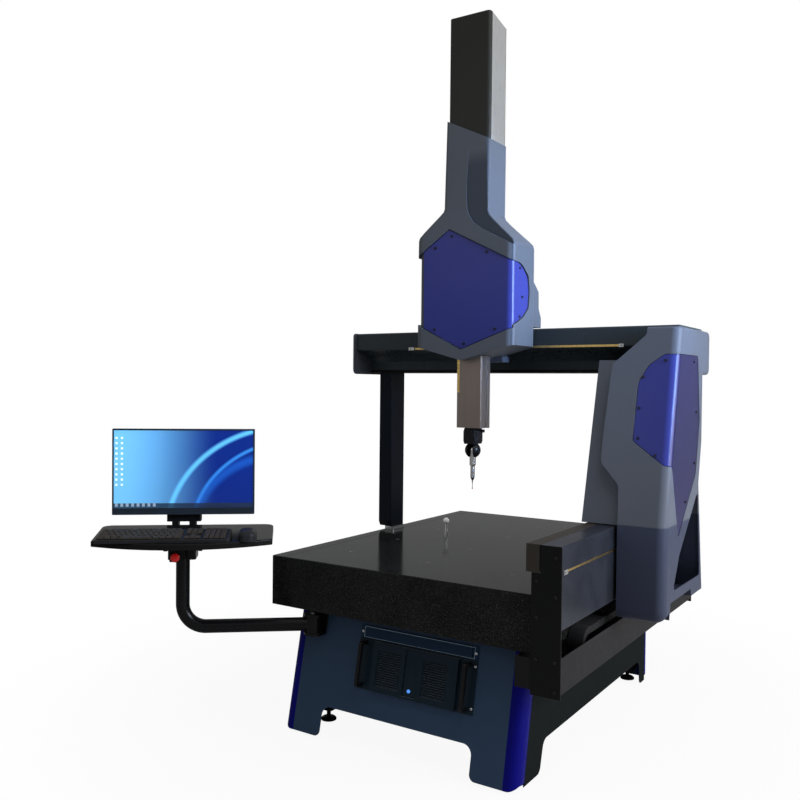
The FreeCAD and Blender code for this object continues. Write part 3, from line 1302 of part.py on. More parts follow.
def probe_ball():
    """Rotating lower half: ball with a slot for the tilting probe mount."""
    body = new_body("probe_ball")
    r = dim.probe_ball_radius
    ball = body.newObject("PartDesign::AdditiveSphere", "Ball")
    ball.Radius = bind(ball, "Radius", r)
    body.Tip = ball
    slot = body.newObject("PartDesign::SubtractiveBox", "Slot")
    slot.Length, slot.Width, slot.Height = 27, 60, 62
    slot.AttachmentOffset = Placement(Vector(-13.5, -46, -41), Rotation())
    slot.AttachmentSupport = (origin_plane(body, "XY_Plane"), [""])
    slot.MapMode = "FlatFace"
    body.Tip = slot
    pocket(body, "XY_Plane", [rectangle(-40, -40, 40, 40)], 24.5, 20)
    pocket(body, "YZ_Plane", [("circle", 0, 0, 4.3)], -40, 80)
    place(body, dim.ram_x, dim.ram_y, dim.probe_ball_z)
    subpart(body)


def probe_module():
    """Tilting probe: pivot pin, mount and the stepped touch-trigger module."""
    body = new_body("probe_module")
    turn(body, [(0, 12.3), (5, 11.2), (9, 8.4), (12.3, 0), (12.3, -58), (11, -60), (8.6, -61), (8.6, -106),
                (6.5, -112), (4, -118), (0, -118)])
    pad(body, "YZ_Plane", [("circle", 0, 0, 4)], -27, 54)
    place(body, dim.ram_x, dim.ram_y, dim.probe_ball_z)
    subpart(body)


def stylus():
    """Thin stylus shaft, thicker at its threaded root."""
    body = new_body("stylus")
    length = dim.probe_ball_z - dim.stylus_tip_z
    turn(body, [(0, -118), (2.6, -118), (2.6, -126), (1.3, -128), (1.1, -length + 5.1), (0, -length + 5.1)])
    place(body, dim.ram_x, dim.ram_y, dim.probe_ball_z)
    subpart(body)


def stylus_ball():
    """Ruby tip."""
    body = new_body("stylus_ball")
    ball = body.newObject("PartDesign::AdditiveSphere", "Ruby")
    ball.Radius = 2.5
    body.Tip = ball
    place(body, dim.ram_x, dim.ram_y, dim.stylus_tip_z + 2.5)
    subpart(body)


# ---------------------------------------------------------------- reference sphere

def reference_stem():
    """Tapered stem of the reference sphere, screwed into a socket of the table."""
    body = new_body("reference_stem")
    top = dim.sphere_z - dim.sphere_radius
    turn(body, [(0, -25.5), (8.6, -25.5), (8.6, 5), (3.5, top - 0.1), (0, top - 0.1)])
    place(body, dim.sphere_x, dim.sphere_y, 0)
    subpart(body)


def reference_sphere():
    """White ceramic calibration ball."""
    body = new_body("reference_sphere")
    ball = body.newObject("PartDesign::AdditiveSphere", "Ball")
    ball.Radius = bind(ball, "Radius", dim.sphere_radius)
    body.Tip = ball
    place(body, dim.sphere_x, dim.sphere_y, dim.sphere_z)
    subpart(body)


granite_table()
table_inserts()
guide_beam()
guide_inner_strip()
guide_end_plates()
y_scale()
y_scale_clips()
cable_trough()
energy_chain_run()
energy_chain_loop()
support_pads()
stand_frame()
stand_front_panel()
stand_rear_panel()
stand_side_panels()
corner_posts()
levelling_feet()
rack_controller()
rack_computer()
computer_handles()
power_button()
arm_bracket()
arm_tube()
workstation_bracket()
estop_box()
estop_button()
keyboard_tray()
keyboard_case()
keyboard_keys()
mouse()
monitor_stand()
monitor_case()
monitor_screen()
left_leg()
left_air_bearing()
bridge_beam()
beam_base_plate()
x_scale()
x_scale_clips()
left_end_cap()
right_leg()
bearing_block()
right_cover_and_panel()
carriage_block()
head_cover_and_panel()
column_cover()
column_sides()
carriage_rear_cover()
ram()
z_scale()
probe_body()
probe_ball()
probe_module()
stylus()
stylus_ball()
reference_stem()
reference_sphere()

doc.recompute()
failed = []
for item in doc.Objects:
    if "Invalid" in item.State or "Error" in item.State:
        owner = item.getParentGeoFeatureGroup()
        failed.append("%s in %s" % (item.Label, owner.Label if owner else "document"))
if failed:
    raise RuntimeError("failed objects: " + ", ".join(failed))
for item in SUBPARTS:
    if item.Shape.isNull() or not item.Shape.isValid() or item.Shape.Volume <= 0:
        raise RuntimeError("bad shape: " + item.Label)

os.makedirs("parts", exist_ok=True)
for item in SUBPARTS:
    item.Shape.exportStep("parts/%s.step" % item.Label)
    print("%-24s solids %2d  volume %12.0f mm3" % (item.Label, len(item.Shape.Solids), item.Shape.Volume))
print("sub-parts:", len(SUBPARTS))
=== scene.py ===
import json
import math

import bpy
from mathutils import Matrix, Vector


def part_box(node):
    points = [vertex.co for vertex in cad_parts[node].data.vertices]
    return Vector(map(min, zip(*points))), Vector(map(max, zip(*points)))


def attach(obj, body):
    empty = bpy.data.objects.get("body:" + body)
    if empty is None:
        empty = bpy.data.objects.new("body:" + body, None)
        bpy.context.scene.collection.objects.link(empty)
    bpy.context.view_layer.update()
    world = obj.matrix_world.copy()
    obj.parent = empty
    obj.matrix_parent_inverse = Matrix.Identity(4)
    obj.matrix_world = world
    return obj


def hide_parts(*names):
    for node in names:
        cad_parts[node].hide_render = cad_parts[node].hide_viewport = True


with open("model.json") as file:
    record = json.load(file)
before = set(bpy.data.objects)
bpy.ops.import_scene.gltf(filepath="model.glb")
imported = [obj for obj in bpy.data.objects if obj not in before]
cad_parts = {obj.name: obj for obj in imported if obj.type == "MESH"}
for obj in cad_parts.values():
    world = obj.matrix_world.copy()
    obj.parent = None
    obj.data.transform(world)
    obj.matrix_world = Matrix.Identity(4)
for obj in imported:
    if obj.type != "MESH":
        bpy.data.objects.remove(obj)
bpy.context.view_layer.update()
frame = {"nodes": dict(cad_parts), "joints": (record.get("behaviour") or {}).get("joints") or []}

# Camera: stands to the right of the machine at about the height of the bridge, and
# looks nearly level along the azimuth below towards the left rear corner.
view_azimuth = math.radians(33.28)
view_pitch = math.radians(-1.003)
view_roll = math.radians(0.57)
camera_data = bpy.data.cameras.new("studio_camera")
camera_data.lens = 38.87
camera_data.sensor_width = 36.0
camera = bpy.data.objects.new("studio_camera", camera_data)
bpy.context.scene.collection.objects.link(camera)
turn = Matrix.Rotation(view_azimuth, 4, "Z") @ Matrix.Rotation(math.pi / 2 + view_pitch, 4, "X")
turn = turn @ Matrix.Rotation(view_roll, 4, "Z")
camera.matrix_world = Matrix.Translation((1.6534, -3.2099, 0.6531)) @ turn
bpy.context.scene.camera = camera
bpy.context.scene.view_settings.view_transform = "Standard"


# Finishes: a Signal is one output on the node tree of a finish, and sums of it add
# Math nodes. A Finish is one material, made up node by node.
class Signal:
    def __init__(self, finish, socket):
        self.finish = finish
        self.socket = socket

    def math(self, operation, *values):
        inputs = dict(enumerate(values))
        return self.finish.node("ShaderNodeMath", {"operation": operation}, inputs)

    def __add__(self, other):
        return self.math("ADD", self, other)

    def __sub__(self, other):
        return self.math("SUBTRACT", self, other)

    def __rsub__(self, other):
        return self.math("SUBTRACT", other, self)

    def __mul__(self, other):
        return self.math("MULTIPLY", self, other)

    def __truediv__(self, other):
        return self.math("DIVIDE", self, other)

    def between(self, low, high, start=0.0, end=1.0):
        """Rises from start to end as the signal goes from low to high, and is level outside."""
        settings = {"interpolation_type": "SMOOTHSTEP"}
        values = {"Value": self, "From Min": low, "From Max": high, "To Min": start, "To Max": end}
        return self.finish.node("ShaderNodeMapRange", settings, values)


class Finish:
    def __init__(self, name, roughness, metallic=0.0, coat=0.0, coat_roughness=0.1):
        self.material = bpy.data.materials.new(name)
        self.material.use_nodes = True
        self.tree = self.material.node_tree
        self.shader = self.tree.nodes["Principled BSDF"]
        self.shader.inputs["Roughness"].default_value = roughness
        self.shader.inputs["Metallic"].default_value = metallic
        self.shader.inputs["Coat Weight"].default_value = coat
        self.shader.inputs["Coat Roughness"].default_value = coat_roughness
        self.shader.inputs["Specular IOR Level"].default_value = 0.06
        self.place = self.node("ShaderNodeTexCoord", {}, {}, "Object")

    def node(self, kind, settings, values, output=0):
        item = self.tree.nodes.new(kind)
        for name, setting in settings.items():
            setattr(item, name, setting)
        for socket, value in values.items():
            if isinstance(value, Signal):
                self.tree.links.new(value.socket, item.inputs[socket])
            else:
                item.inputs[socket].default_value = value
        return Signal(self, item.outputs[output])

    def stretched(self, x, y, z):
        """Object coordinates, stretched per axis."""
        settings = {"operation": "MULTIPLY"}
        return self.node("ShaderNodeVectorMath", settings, {0: self.place, 1: (x, y, z)})

    def from_point(self, point):
        """Object coordinates, measured from a point."""
        values = {0: self.place, 1: point}
        return self.node("ShaderNodeVectorMath", {"operation": "SUBTRACT"}, values)

    def along(self, vector, direction):
        """The length of a vector along a direction."""
        values = {0: vector, 1: direction}
        return self.node("ShaderNodeVectorMath", {"operation": "DOT_PRODUCT"}, values, "Value")

    def axis(self, vector, name):
        """One coordinate of a vector."""
        return self.node("ShaderNodeSeparateXYZ", {}, {0: vector}, name)

    def facing(self):
        """The direction in which the surface faces."""
        return self.node("ShaderNodeTexCoord", {}, {}, "Normal")

    def noise(self, scale, detail=2.0, vector=None):
        values = {"Vector": vector or self.place, "Scale": scale, "Detail": detail}
        return self.node("ShaderNodeTexNoise", {}, values)

    def cells(self, scale):
        values = {"Vector": self.place, "Scale": scale}
        return self.node("ShaderNodeTexVoronoi", {}, values, "Distance")

    def mix(self, share, first, second):
        """A colour that goes from first to second as share goes from 0 to 1."""
        values = {0: share, 6: first, 7: second}
        return self.node("ShaderNodeMix", {"data_type": "RGBA"}, values, 2)

    def painted(self):
        """The colour that the finish has so far."""
        return Signal(self, self.shader.inputs["Base Color"].links[0].from_socket)

    def colour(self, value):
        self.tree.links.new(value.socket, self.shader.inputs["Base Color"])

    def rough(self, value):
        self.tree.links.new(value.socket, self.shader.inputs["Roughness"])

    def relief(self, height, strength, depth):
        """Small relief of the surface, its depth in metres."""
        values = {"Strength": strength, "Distance": depth, "Height": height}
        bump = self.node("ShaderNodeBump", {}, values, "Normal")
        self.tree.links.new(bump.socket, self.shader.inputs["Normal"])


def shade(colour, factor):
    """A colour made lighter or darker."""
    return tuple(min(1.0, channel * factor) for channel in colour[:3]) + (1.0,)


# Studio: a white room, dimmer near the horizon, with broad soft lamps overhead, in
# front and to the right, a narrow blue window light on the head, and a pale floor that
# keeps the machine's shadow and fades to white further out.
world = bpy.data.worlds.new("studio")
bpy.context.scene.world = world
world.use_nodes = True
room = world.node_tree
room_light = room.nodes["Background"]
room_light.inputs["Color"].default_value = (1.0, 1.0, 1.0, 1.0)
seen = room.nodes.new("ShaderNodeLightPath")
brightness = room.nodes.new("ShaderNodeMix")
brightness.data_type = "FLOAT"
either = room.nodes.new("ShaderNodeMath")
either.operation = "MAXIMUM"
room.links.new(seen.outputs["Is Camera Ray"], either.inputs[0])
room.links.new(seen.outputs["Is Transmission Ray"], either.inputs[1])
room.links.new(either.outputs[0], brightness.inputs[0])
direction = room.nodes.new("ShaderNodeTexCoord")
height = room.nodes.new("ShaderNodeSeparateXYZ")
room.links.new(direction.outputs["Generated"], height.inputs[0])
sky = room.nodes.new("ShaderNodeMapRange")
for limit, value in (("From Min", 0.0), ("From Max", 0.7), ("To Min", 0.25), ("To Max", 0.6)):
    sky.inputs[limit].default_value = value
room.links.new(height.outputs["Z"], sky.inputs["Value"])
room.links.new(sky.outputs["Result"], brightness.inputs[2])
brightness.inputs[3].default_value = 1.0
room.links.new(brightness.outputs[0], room_light.inputs["Strength"])

for name, place, target, size, power in (
    ("overhead_lamp", (2.2, -1.6, 4.2), (0.0, 0.0, 0.4), 2.4, 70.0),
    ("front_lamp", (-1.8, -4.5, 2.4), (0.0, -0.4, 0.2), 2.0, 12.0),
    ("right_lamp", (4.4, 0.2, 1.6), (0.6, 0.0, 0.4), 2.6, 290.0),
    ("window_lamp", (3.2, -0.5, 1.5), (0.2, -0.35, 1.1), 1.0, 16.0),
):
    lamp_data = bpy.data.lights.new(name, "AREA")
    lamp_data.size = size
    lamp_data.energy = power
    if name == "window_lamp":
        lamp_data.color = (0.25, 0.5, 1.0)
        lamp_data.spread = math.radians(42)
    lamp = bpy.data.objects.new(name, lamp_data)
    bpy.context.scene.collection.objects.link(lamp)
    aim = (Vector(target) - Vector(place)).to_track_quat("-Z", "Y")
    lamp.matrix_world = Matrix.Translation(place) @ aim.to_matrix().to_4x4()

floor_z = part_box("levelling_feet")[0].z
bpy.ops.mesh.primitive_plane_add(size=60.0, location=(0.0, 0.0, floor_z))
floor = bpy.context.object
floor.name = "floor"
bpy.ops.object.transform_apply(location=True)
pale = Finish("pale_floor", 0.7)
pale.shader.inputs["Base Color"].default_value = (0.45, 0.45, 0.45, 1.0)
camera_ray = pale.node("ShaderNodeLightPath", {}, {}, "Is Camera Ray")
on_floor = pale.stretched(1.0, 1.0, 0.0)
reach = pale.node("ShaderNodeVectorMath", {"operation": "LENGTH"}, {0: on_floor}, "Value")
whiteness = camera_ray * reach.between(0.9, 2.3, 0.93, 1.0)
white = pale.node("ShaderNodeEmission", {}, {"Strength": 1.0})
shadowed = Signal(pale, pale.shader.outputs[0])
covered = pale.node("ShaderNodeMixShader", {}, {0: whiteness, 1: shadowed, 2: white})
pale.tree.links.new(covered.socket, pale.tree.nodes["Material Output"].inputs["Surface"])
floor.data.materials.append(pale.material)


# Granite table: one lapped block of black granite with light and dark crystals, and
# stainless inserts bonded into it. It rests on rubber pads.
def paint_node(node, finish):
    """Gives a node of the frame its finish."""
    for material_slot in frame["nodes"][node].material_slots:
        material_slot.material = finish.material


def granite(name, ground, pale_crystal, dark_crystal, gloss):
    stone = Finish(name, gloss)
    stone.shader.inputs["Specular IOR Level"].default_value = 0.05
    cloudy = stone.noise(9.0, 4.0)
    base = stone.mix(cloudy.between(0.35, 0.7), shade(ground, 0.8), shade(ground, 1.25))
    fine = stone.noise(620.0, 3.0)
    speckled = stone.mix(fine.between(0.6, 0.7), base, pale_crystal)
    grains = stone.noise(260.0, 2.0)
    stone.colour(stone.mix(grains.between(0.6, 0.68, 0.0, 0.8), speckled, dark_crystal))
    stone.rough(fine.between(0.3, 0.8, gloss, gloss + 0.1))
    return stone


table_granite = granite(
    "lapped_black_granite",
    ground=(0.006, 0.0065, 0.006),
    pale_crystal=(0.09, 0.092, 0.09, 1.0),
    dark_crystal=(0.006, 0.006, 0.007, 1.0),
    gloss=0.1,
)
paint_node("granite_table", table_granite)


def turned_metal(name, colour, roughness):
    """Machined metal with fine tool marks."""
    metal = Finish(name, roughness, metallic=1.0)
    marks = metal.noise(40.0, 2.0, metal.stretched(1.0, 1.0, 60.0))
    metal.colour(metal.mix(marks, shade(colour, 0.88), shade(colour, 1.1)))
    metal.rough(marks.between(0.3, 0.7, roughness - 0.06, roughness + 0.08))
    metal.relief(marks, 0.25, 0.0001)
    return metal


paint_node("table_inserts", turned_metal("insert_stainless", (0.2, 0.2, 0.205), 0.4))


def rubber(name, colour):
    """Matt rubber with a faint bloom."""
    pad = Finish(name, 0.8)
    bloom = pad.noise(70.0, 4.0)
    pad.colour(pad.mix(bloom, shade(colour, 0.8), shade(colour, 1.5)))
    pad.relief(pad.noise(900.0), 0.3, 0.0003)
    return pad


paint_node("support_pads", rubber("pad_rubber", (0.03, 0.03, 0.03)))


# Side guide: ground blue-grey granite beam bolted along the right of the table, with a
# folded brown channel over its inner edge and black steel plates over both ends.
def refined(node, body, finish, width, angle=28.0):
    """A finished copy of a node: doubles merged, edges rounded, curved faces smooth."""
    bpy.ops.object.select_all(action="DESELECT")
    piece = frame["nodes"][node].copy()
    piece.data = piece.data.copy()
    piece.name = node + "_finished"
    piece.parent = None
    bpy.context.scene.collection.objects.link(piece)
    piece.hide_set(False)
    bpy.context.view_layer.objects.active = piece
    piece.select_set(True)
    bpy.ops.object.mode_set(mode="EDIT")
    bpy.ops.mesh.select_all(action="SELECT")
    bpy.ops.mesh.remove_doubles(threshold=0.00001)
    bpy.ops.mesh.dissolve_limited(angle_limit=math.radians(0.4))
    bpy.ops.object.mode_set(mode="OBJECT")
    if width:
        rounding = piece.modifiers.new("rounding", "BEVEL")
        rounding.width = width
        rounding.segments = 2
        rounding.limit_method = "ANGLE"
        rounding.angle_limit = math.radians(angle)
        bpy.ops.object.modifier_apply(modifier="rounding")
    bpy.ops.object.shade_smooth_by_angle(angle=math.radians(angle + 4.0))
    shading = piece.modifiers.new("even_shading", "WEIGHTED_NORMAL")
    shading.keep_sharp = True
    bpy.ops.object.modifier_apply(modifier="even_shading")
    piece.data.materials.clear()
    piece.data.materials.append(finish.material)
    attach(piece, body)
    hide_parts(node)
    piece.select_set(False)
    return piece


guide_granite = granite(
    "ground_guide_granite",
    ground=(0.014, 0.016, 0.022),
    pale_crystal=(0.06, 0.063, 0.07, 1.0),
    dark_crystal=(0.006, 0.006, 0.007, 1.0),
    gloss=0.28,
)
paint_node("guide_beam", guide_granite)


def powder_coat(name, colour, roughness=0.5, texture=1.0, coat=0.0):
    """Baked powder paint: fine orange-peel texture and a slightly uneven tone."""
    paint = Finish(name, roughness, coat=coat, coat_roughness=0.25)
    tone = paint.noise(2.6, 4.0)
    grit = paint.noise(1500.0, 1.0)
    even = paint.mix(tone, shade(colour, 0.9), shade(colour, 1.12))
    paint.colour(paint.mix(grit.between(0.4, 0.75, 0.0, 0.3), even, shade(colour, 1.25)))
    paint.rough(paint.noise(30.0, 3.0).between(0.2, 0.8, roughness - 0.02, roughness + 0.03))
    paint.relief(grit + paint.noise(420.0) * 0.8, 0.2 * texture, 0.00015)
    return paint


strip_brown = powder_coat("channel_brown_paint", (0.03, 0.026, 0.022), 0.55)
refined("guide_inner_strip", "base", strip_brown, 0.0008)
machine_black = powder_coat("black_steel_paint", (0.006, 0.0062, 0.0065), 0.42)
refined("guide_end_plates", "base", machine_black, 0.0009)
paint_node("stand_frame", powder_coat("frame_black_paint", (0.008, 0.008, 0.009), 0.5))


def grating_tape(name, across):
    """Gold-coloured scale tape with a fine pitch of graduation lines."""
    tape = Finish(name, 0.28, metallic=1.0)
    if across:
        position = tape.stretched(160.0, 1.0, 1.0)
    else:
        position = tape.stretched(1.0, 160.0, 160.0)
    lines = tape.noise(10.0, 1.0, position)
    dark_gold, light_gold = (0.62, 0.41, 0.13, 1.0), (0.82, 0.6, 0.24, 1.0)
    tape.colour(tape.mix(lines.between(0.35, 0.65), dark_gold, light_gold))
    tape.rough(lines.between(0.3, 0.7, 0.22, 0.36))
    return tape


paint_node("y_scale", grating_tape("long_tape_gold", False))
clamp_steel = turned_metal("clamp_steel", (0.6, 0.6, 0.6), 0.28)
refined("y_scale_clips", "base", clamp_steel, 0.0006)


# Screws: socket cap screws with a chamfered head and a hexagon socket. One is turned
# up and sunk in edit mode; the others are copies set in its pattern.
def cap_screw(name, radius, height, finish):
    bpy.ops.object.select_all(action="DESELECT")
    bpy.ops.mesh.primitive_circle_add(
        vertices=24, radius=radius, fill_type="NGON", location=(0, 0, 0)
    )
    screw = bpy.context.object
    screw.name = name
    bpy.ops.object.mode_set(mode="EDIT")
    bpy.ops.mesh.select_all(action="SELECT")
    bpy.ops.mesh.extrude_region_move(TRANSFORM_OT_translate={"value": (0, 0, height * 0.82)})
    bpy.ops.mesh.extrude_region_move(TRANSFORM_OT_translate={"value": (0, 0, height * 0.18)})
    bpy.ops.transform.resize(value=(0.86, 0.86, 1.0))
    bpy.ops.mesh.inset(thickness=radius * 0.34, depth=0)
    bpy.ops.mesh.extrude_region_move(TRANSFORM_OT_translate={"value": (0, 0, -height * 0.7)})
    bpy.ops.object.mode_set(mode="OBJECT")
    bpy.ops.object.shade_smooth_by_angle(angle=math.radians(30))
    screw.data.materials.append(finish.material)
    return screw


def set_screws(name, pattern, places, body):
    """Copies of a screw at (place, outward direction), joined as one set."""
    copies = []
    for number, (place, outward) in enumerate(places):
        piece = bpy.data.objects.new("%s_%02d" % (name, number), pattern.data.copy())
        spin = Vector(outward).to_track_quat("Z", "Y").to_matrix().to_4x4()
        piece.data.transform(Matrix.Translation(place) @ spin)
        bpy.context.scene.collection.objects.link(piece)
        copies.append(piece)
    bpy.ops.object.select_all(action="DESELECT")
    for piece in copies:
        piece.select_set(True)
    bpy.context.view_layer.objects.active = copies[0]
    bpy.ops.object.join()
    copies[0].name = name
    copies[0].select_set(False)
    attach(copies[0], body)
    return copies[0]


screw_steel = turned_metal("screw_steel", (0.34, 0.34, 0.35), 0.35)
black_oxide = turned_metal("screw_black_oxide", (0.03, 0.03, 0.032), 0.4)
plate_screw = cap_screw("plate_screw_pattern", 0.0055, 0.004, black_oxide)
plate_low, plate_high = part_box("guide_end_plates")
plate_screw_grid = (
    (0.556, 0.052), (0.556, -0.06), (0.618, 0.13), (0.618, 0.01),
    (0.556, -0.19), (0.618, -0.19), (0.618, -0.28),
)
end_places = []
for x, z in plate_screw_grid:
    end_places.append(((x, plate_low.y + 0.0002, z), (0, -1, 0)))
    end_places.append(((x, plate_high.y - 0.0002, z), (0, 1, 0)))
set_screws("end_plate_screws", plate_screw, end_places, "base")

# Cable trough and energy chain: a bent zinc-grey tray under the guide, and black
# moulded links that roll in it behind the bridge.
trough_grey_paint = powder_coat("trough_grey_paint", (0.009, 0.009, 0.01), 0.45)
refined("cable_trough", "base", trough_grey_paint, 0.0006)
link_black = rubber("chain_link_plastic", (0.014, 0.014, 0.015))
paint_node("energy_chain_run", link_black)
refined("energy_chain_loop", "chain", link_black, 0.0008)

# Stand: folded sheet-metal covers in slate paint over a welded frame, with deep blue
# rolled corner posts and screw-down feet.
slate = powder_coat("slate_face_paint", (0.021, 0.04, 0.075), 0.42, 1.0, 0.05)
refined("stand_front_panel", "base", slate, 0.0008)
refined("stand_rear_panel", "base", slate, 0.0008)
side_sheet = powder_coat("side_sheet_paint", (0.006, 0.0075, 0.008), 0.7, 0.3)
side_sheet.shader.inputs["Specular IOR Level"].default_value = 0.02
refined("stand_side_panels", "base", side_sheet, 0.0008)
post_blue_paint = powder_coat("post_blue_paint", (0.001, 0.001, 0.108), 0.5, 0.3)
refined("corner_posts", "base", post_blue_paint, 0.0, 60.0)
foot_black_paint = powder_coat("foot_black_paint", (0.012, 0.011, 0.01), 0.5)
refined("levelling_feet", "base", foot_black_paint, 0.0006)

# Rack units: a one-unit controller above a four-unit computer with louvred doors,
# held by their ears, and bow handles on the computer.
lean = math.atan2(0.0964, 0.45)
face_top_y, face_top_z = -0.6416, -0.19
rack_middle, controller_middle, ear_thickness = 0.062, 0.0568, 0.0031
outward = (0.0, -math.cos(lean), math.sin(lean))


def on_face(x, out, down):
    """A place on the leaning face: across, out from the sheet, and down the slope, in metres."""
    y = face_top_y - out * math.cos(lean) - down * math.sin(lean)
    z = face_top_z + out * math.sin(lean) - down * math.cos(lean)
    return (x, y, z)


def painted_top_light(paint, top_light_colour, strength):
    """Painted light on the faces that look up, such as the blades of a louvre: they are made
    lighter as if lit from above.
    """
    upward = paint.axis(paint.facing(), "Z")
    paint.colour(paint.mix(upward.between(0.3, 0.8) * strength, paint.painted(), top_light_colour))


controller_paint = powder_coat("controller_slate_paint", (0.006, 0.019, 0.042), 0.38, 0.8, 0.05)
offset = controller_paint.from_point(on_face(rack_middle, 0.0, controller_middle))
down = controller_paint.along(offset, (0.0, -math.sin(lean), -math.cos(lean)))
aside = controller_paint.axis(offset, "X")
outline_half_length, outline_half_height = 0.2265, 0.0185
past_end = aside.math("ABSOLUTE", aside) - outline_half_length
past_edge = down.math("ABSOLUTE", down) - outline_half_height
past = past_end.math("MAXIMUM", past_end, past_edge)
outline = 1.0 - past.math("ABSOLUTE", past).between(0.0005, 0.0014)
outlined = controller_paint.mix(outline, controller_paint.painted(), (0.2, 0.28, 0.36, 1.0))
controller_paint.colour(outlined)
refined("rack_controller", "base", controller_paint, 0.0006)
computer_paint = powder_coat("computer_black_paint", (0.006, 0.013, 0.02), 0.36, 1.0, 0.05)
# Painted light: the upward faces of the computer, such as its louvre blades, are made lighter as
# if lit from above.
painted_top_light(computer_paint, (0.14, 0.16, 0.19, 1.0), 0.9)
refined("rack_computer", "base", computer_paint, 0.0005)
handle_black_paint = powder_coat("handle_black_paint", (0.006, 0.006, 0.007), 0.3, 0.5, 0.15)
refined("computer_handles", "base", handle_black_paint, 0.003)
lit_blue = Finish("lit_blue_button", 0.25, coat=0.5)
lit_blue.shader.inputs["Base Color"].default_value = (0.05, 0.2, 0.9, 1.0)
glow = lit_blue.mix(lit_blue.noise(300.0), (0.03, 0.25, 1.0, 1.0), (0.2, 0.55, 1.0, 1.0))
lit_blue.tree.links.new(glow.socket, lit_blue.shader.inputs["Emission Color"])
lit_blue.shader.inputs["Emission Strength"].default_value = 0.6
refined("power_button", "power", lit_blue, 0.0006)
ear_screw = cap_screw("ear_screw_pattern", 0.0046, 0.0034, clamp_steel)
ears = []
for x in (-0.1725, 0.2965):
    for down in (0.0995, 0.236):
        ears.append((on_face(x, ear_thickness, down), outward))
for x in (-0.1705, 0.2945):
    ears.append((on_face(x, ear_thickness, controller_middle), outward))
set_screws("rack_ear_screws", ear_screw, ears, "base")

# Reference sphere: polished white ceramic ball on a tapered stem of bright steel.
ceramic = Finish("polished_ceramic", 0.12, coat=0.6, coat_roughness=0.03)
ceramic.colour(ceramic.mix(ceramic.noise(60.0), (0.86, 0.86, 0.84, 1.0), (0.92, 0.92, 0.9, 1.0)))
refined("reference_sphere", "base", ceramic, 0.0, 40.0)
stem_steel = turned_metal("stem_steel", (0.75, 0.76, 0.77), 0.3)
refined("reference_stem", "base", stem_steel, 0.0004)

# Swing arm: gloss black steel tube, bent once, on a hinge bracket screwed to the face;
# it carries the swivel block of the workstation.
arm_black = powder_coat("arm_gloss_black", (0.004, 0.004, 0.0045), 0.2, 0.2, 0.12)
refined("arm_bracket", "base", arm_black, 0.0012)
refined("arm_tube", "arm", arm_black, 0.0, 35.0)
refined("workstation_bracket", "workstation", arm_black, 0.0012)
refined("monitor_stand", "workstation", machine_black, 0.0015)
hinge = Vector([j for j in frame["joints"] if j["name"] == "arm_swivel"][0]["pos_m"])
pin_nut = cap_screw("pin_screw_pattern", 0.012, 0.006, screw_steel)
pin_top = (hinge.x, hinge.y, hinge.z + 0.0398)
set_screws("arm_pin_screws", pin_nut, [(pin_top, (0, 0, 1))], "base")


# Frame of the workstation: across runs along the tray, back runs away from the user.
arm_angle = math.radians(40)
arm_reach = 0.478
across = Vector((math.cos(arm_angle), math.sin(arm_angle), 0.0))
back = Vector((-math.sin(arm_angle), math.cos(arm_angle), 0.0))
swivel = hinge - arm_reach * across
swivel.z = 0.0


def on_tray(right, rear, up):
    """A place in the frame of the workstation, in metres."""
    return swivel + right * across + rear * back + Vector((0, 0, up))


# Emergency stop: black moulded box clamped under the tray, with a red mushroom head in
# a black collar, and a clamp knob with a brass tip at each side.
def moulding(name, colour, roughness=0.5, grain=1100.0, depth=0.0003, coat=0.0):
    """Injection-moulded plastic with spark-eroded grain and slightly uneven gloss."""
    plastic = Finish(name, roughness, coat=coat, coat_roughness=0.2)
    tone = plastic.noise(3.5, 3.0)
    plastic.colour(plastic.mix(tone, shade(colour, 0.92), shade(colour, 1.1)))
    plastic.rough(plastic.noise(24.0, 3.0).between(0.2, 0.8, roughness - 0.02, roughness + 0.03))
    plastic.relief(plastic.cells(grain), 0.3, depth)
    return plastic


stop_box_black = moulding("stop_box_black", (0.008, 0.008, 0.008), 0.45)
refined("estop_box", "workstation", stop_box_black, 0.0012)
stop_head_red = moulding("stop_head_red", (0.62, 0.012, 0.012), 0.28, 500.0, 0.0001, 0.4)
refined("estop_button", "estop", stop_head_red, 0.0, 35.0)
bpy.ops.object.select_all(action="DESELECT")
bpy.ops.mesh.primitive_cylinder_add(vertices=40, radius=0.0195, depth=0.0035, location=(0, 0, 0))
collar = bpy.context.object
collar.name = "estop_collar"
bpy.ops.object.mode_set(mode="EDIT")
bpy.ops.mesh.select_all(action="DESELECT")
bpy.ops.mesh.select_mode(type="FACE")
bpy.ops.object.mode_set(mode="OBJECT")
for face in collar.data.polygons:
    face.select = abs(face.normal.z) > 0.9
bpy.ops.object.mode_set(mode="EDIT")
bpy.ops.mesh.inset(thickness=0.0068, depth=0.0)
bpy.ops.mesh.bridge_edge_loops()
bpy.ops.object.mode_set(mode="OBJECT")
edge = collar.modifiers.new("edge", "BEVEL")
edge.width = 0.0008
edge.segments = 2
bpy.ops.object.modifier_apply(modifier="edge")
bpy.ops.object.shade_smooth_by_angle(angle=math.radians(35))
stop_axis = (-back).to_track_quat("Z", "Y").to_matrix().to_4x4()
collar.data.transform(Matrix.Translation(on_tray(-0.016, -0.0819, 0.03)) @ stop_axis)
collar.data.materials.append(moulding("stop_collar_black", (0.01, 0.01, 0.01), 0.35).material)
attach(collar, "workstation")

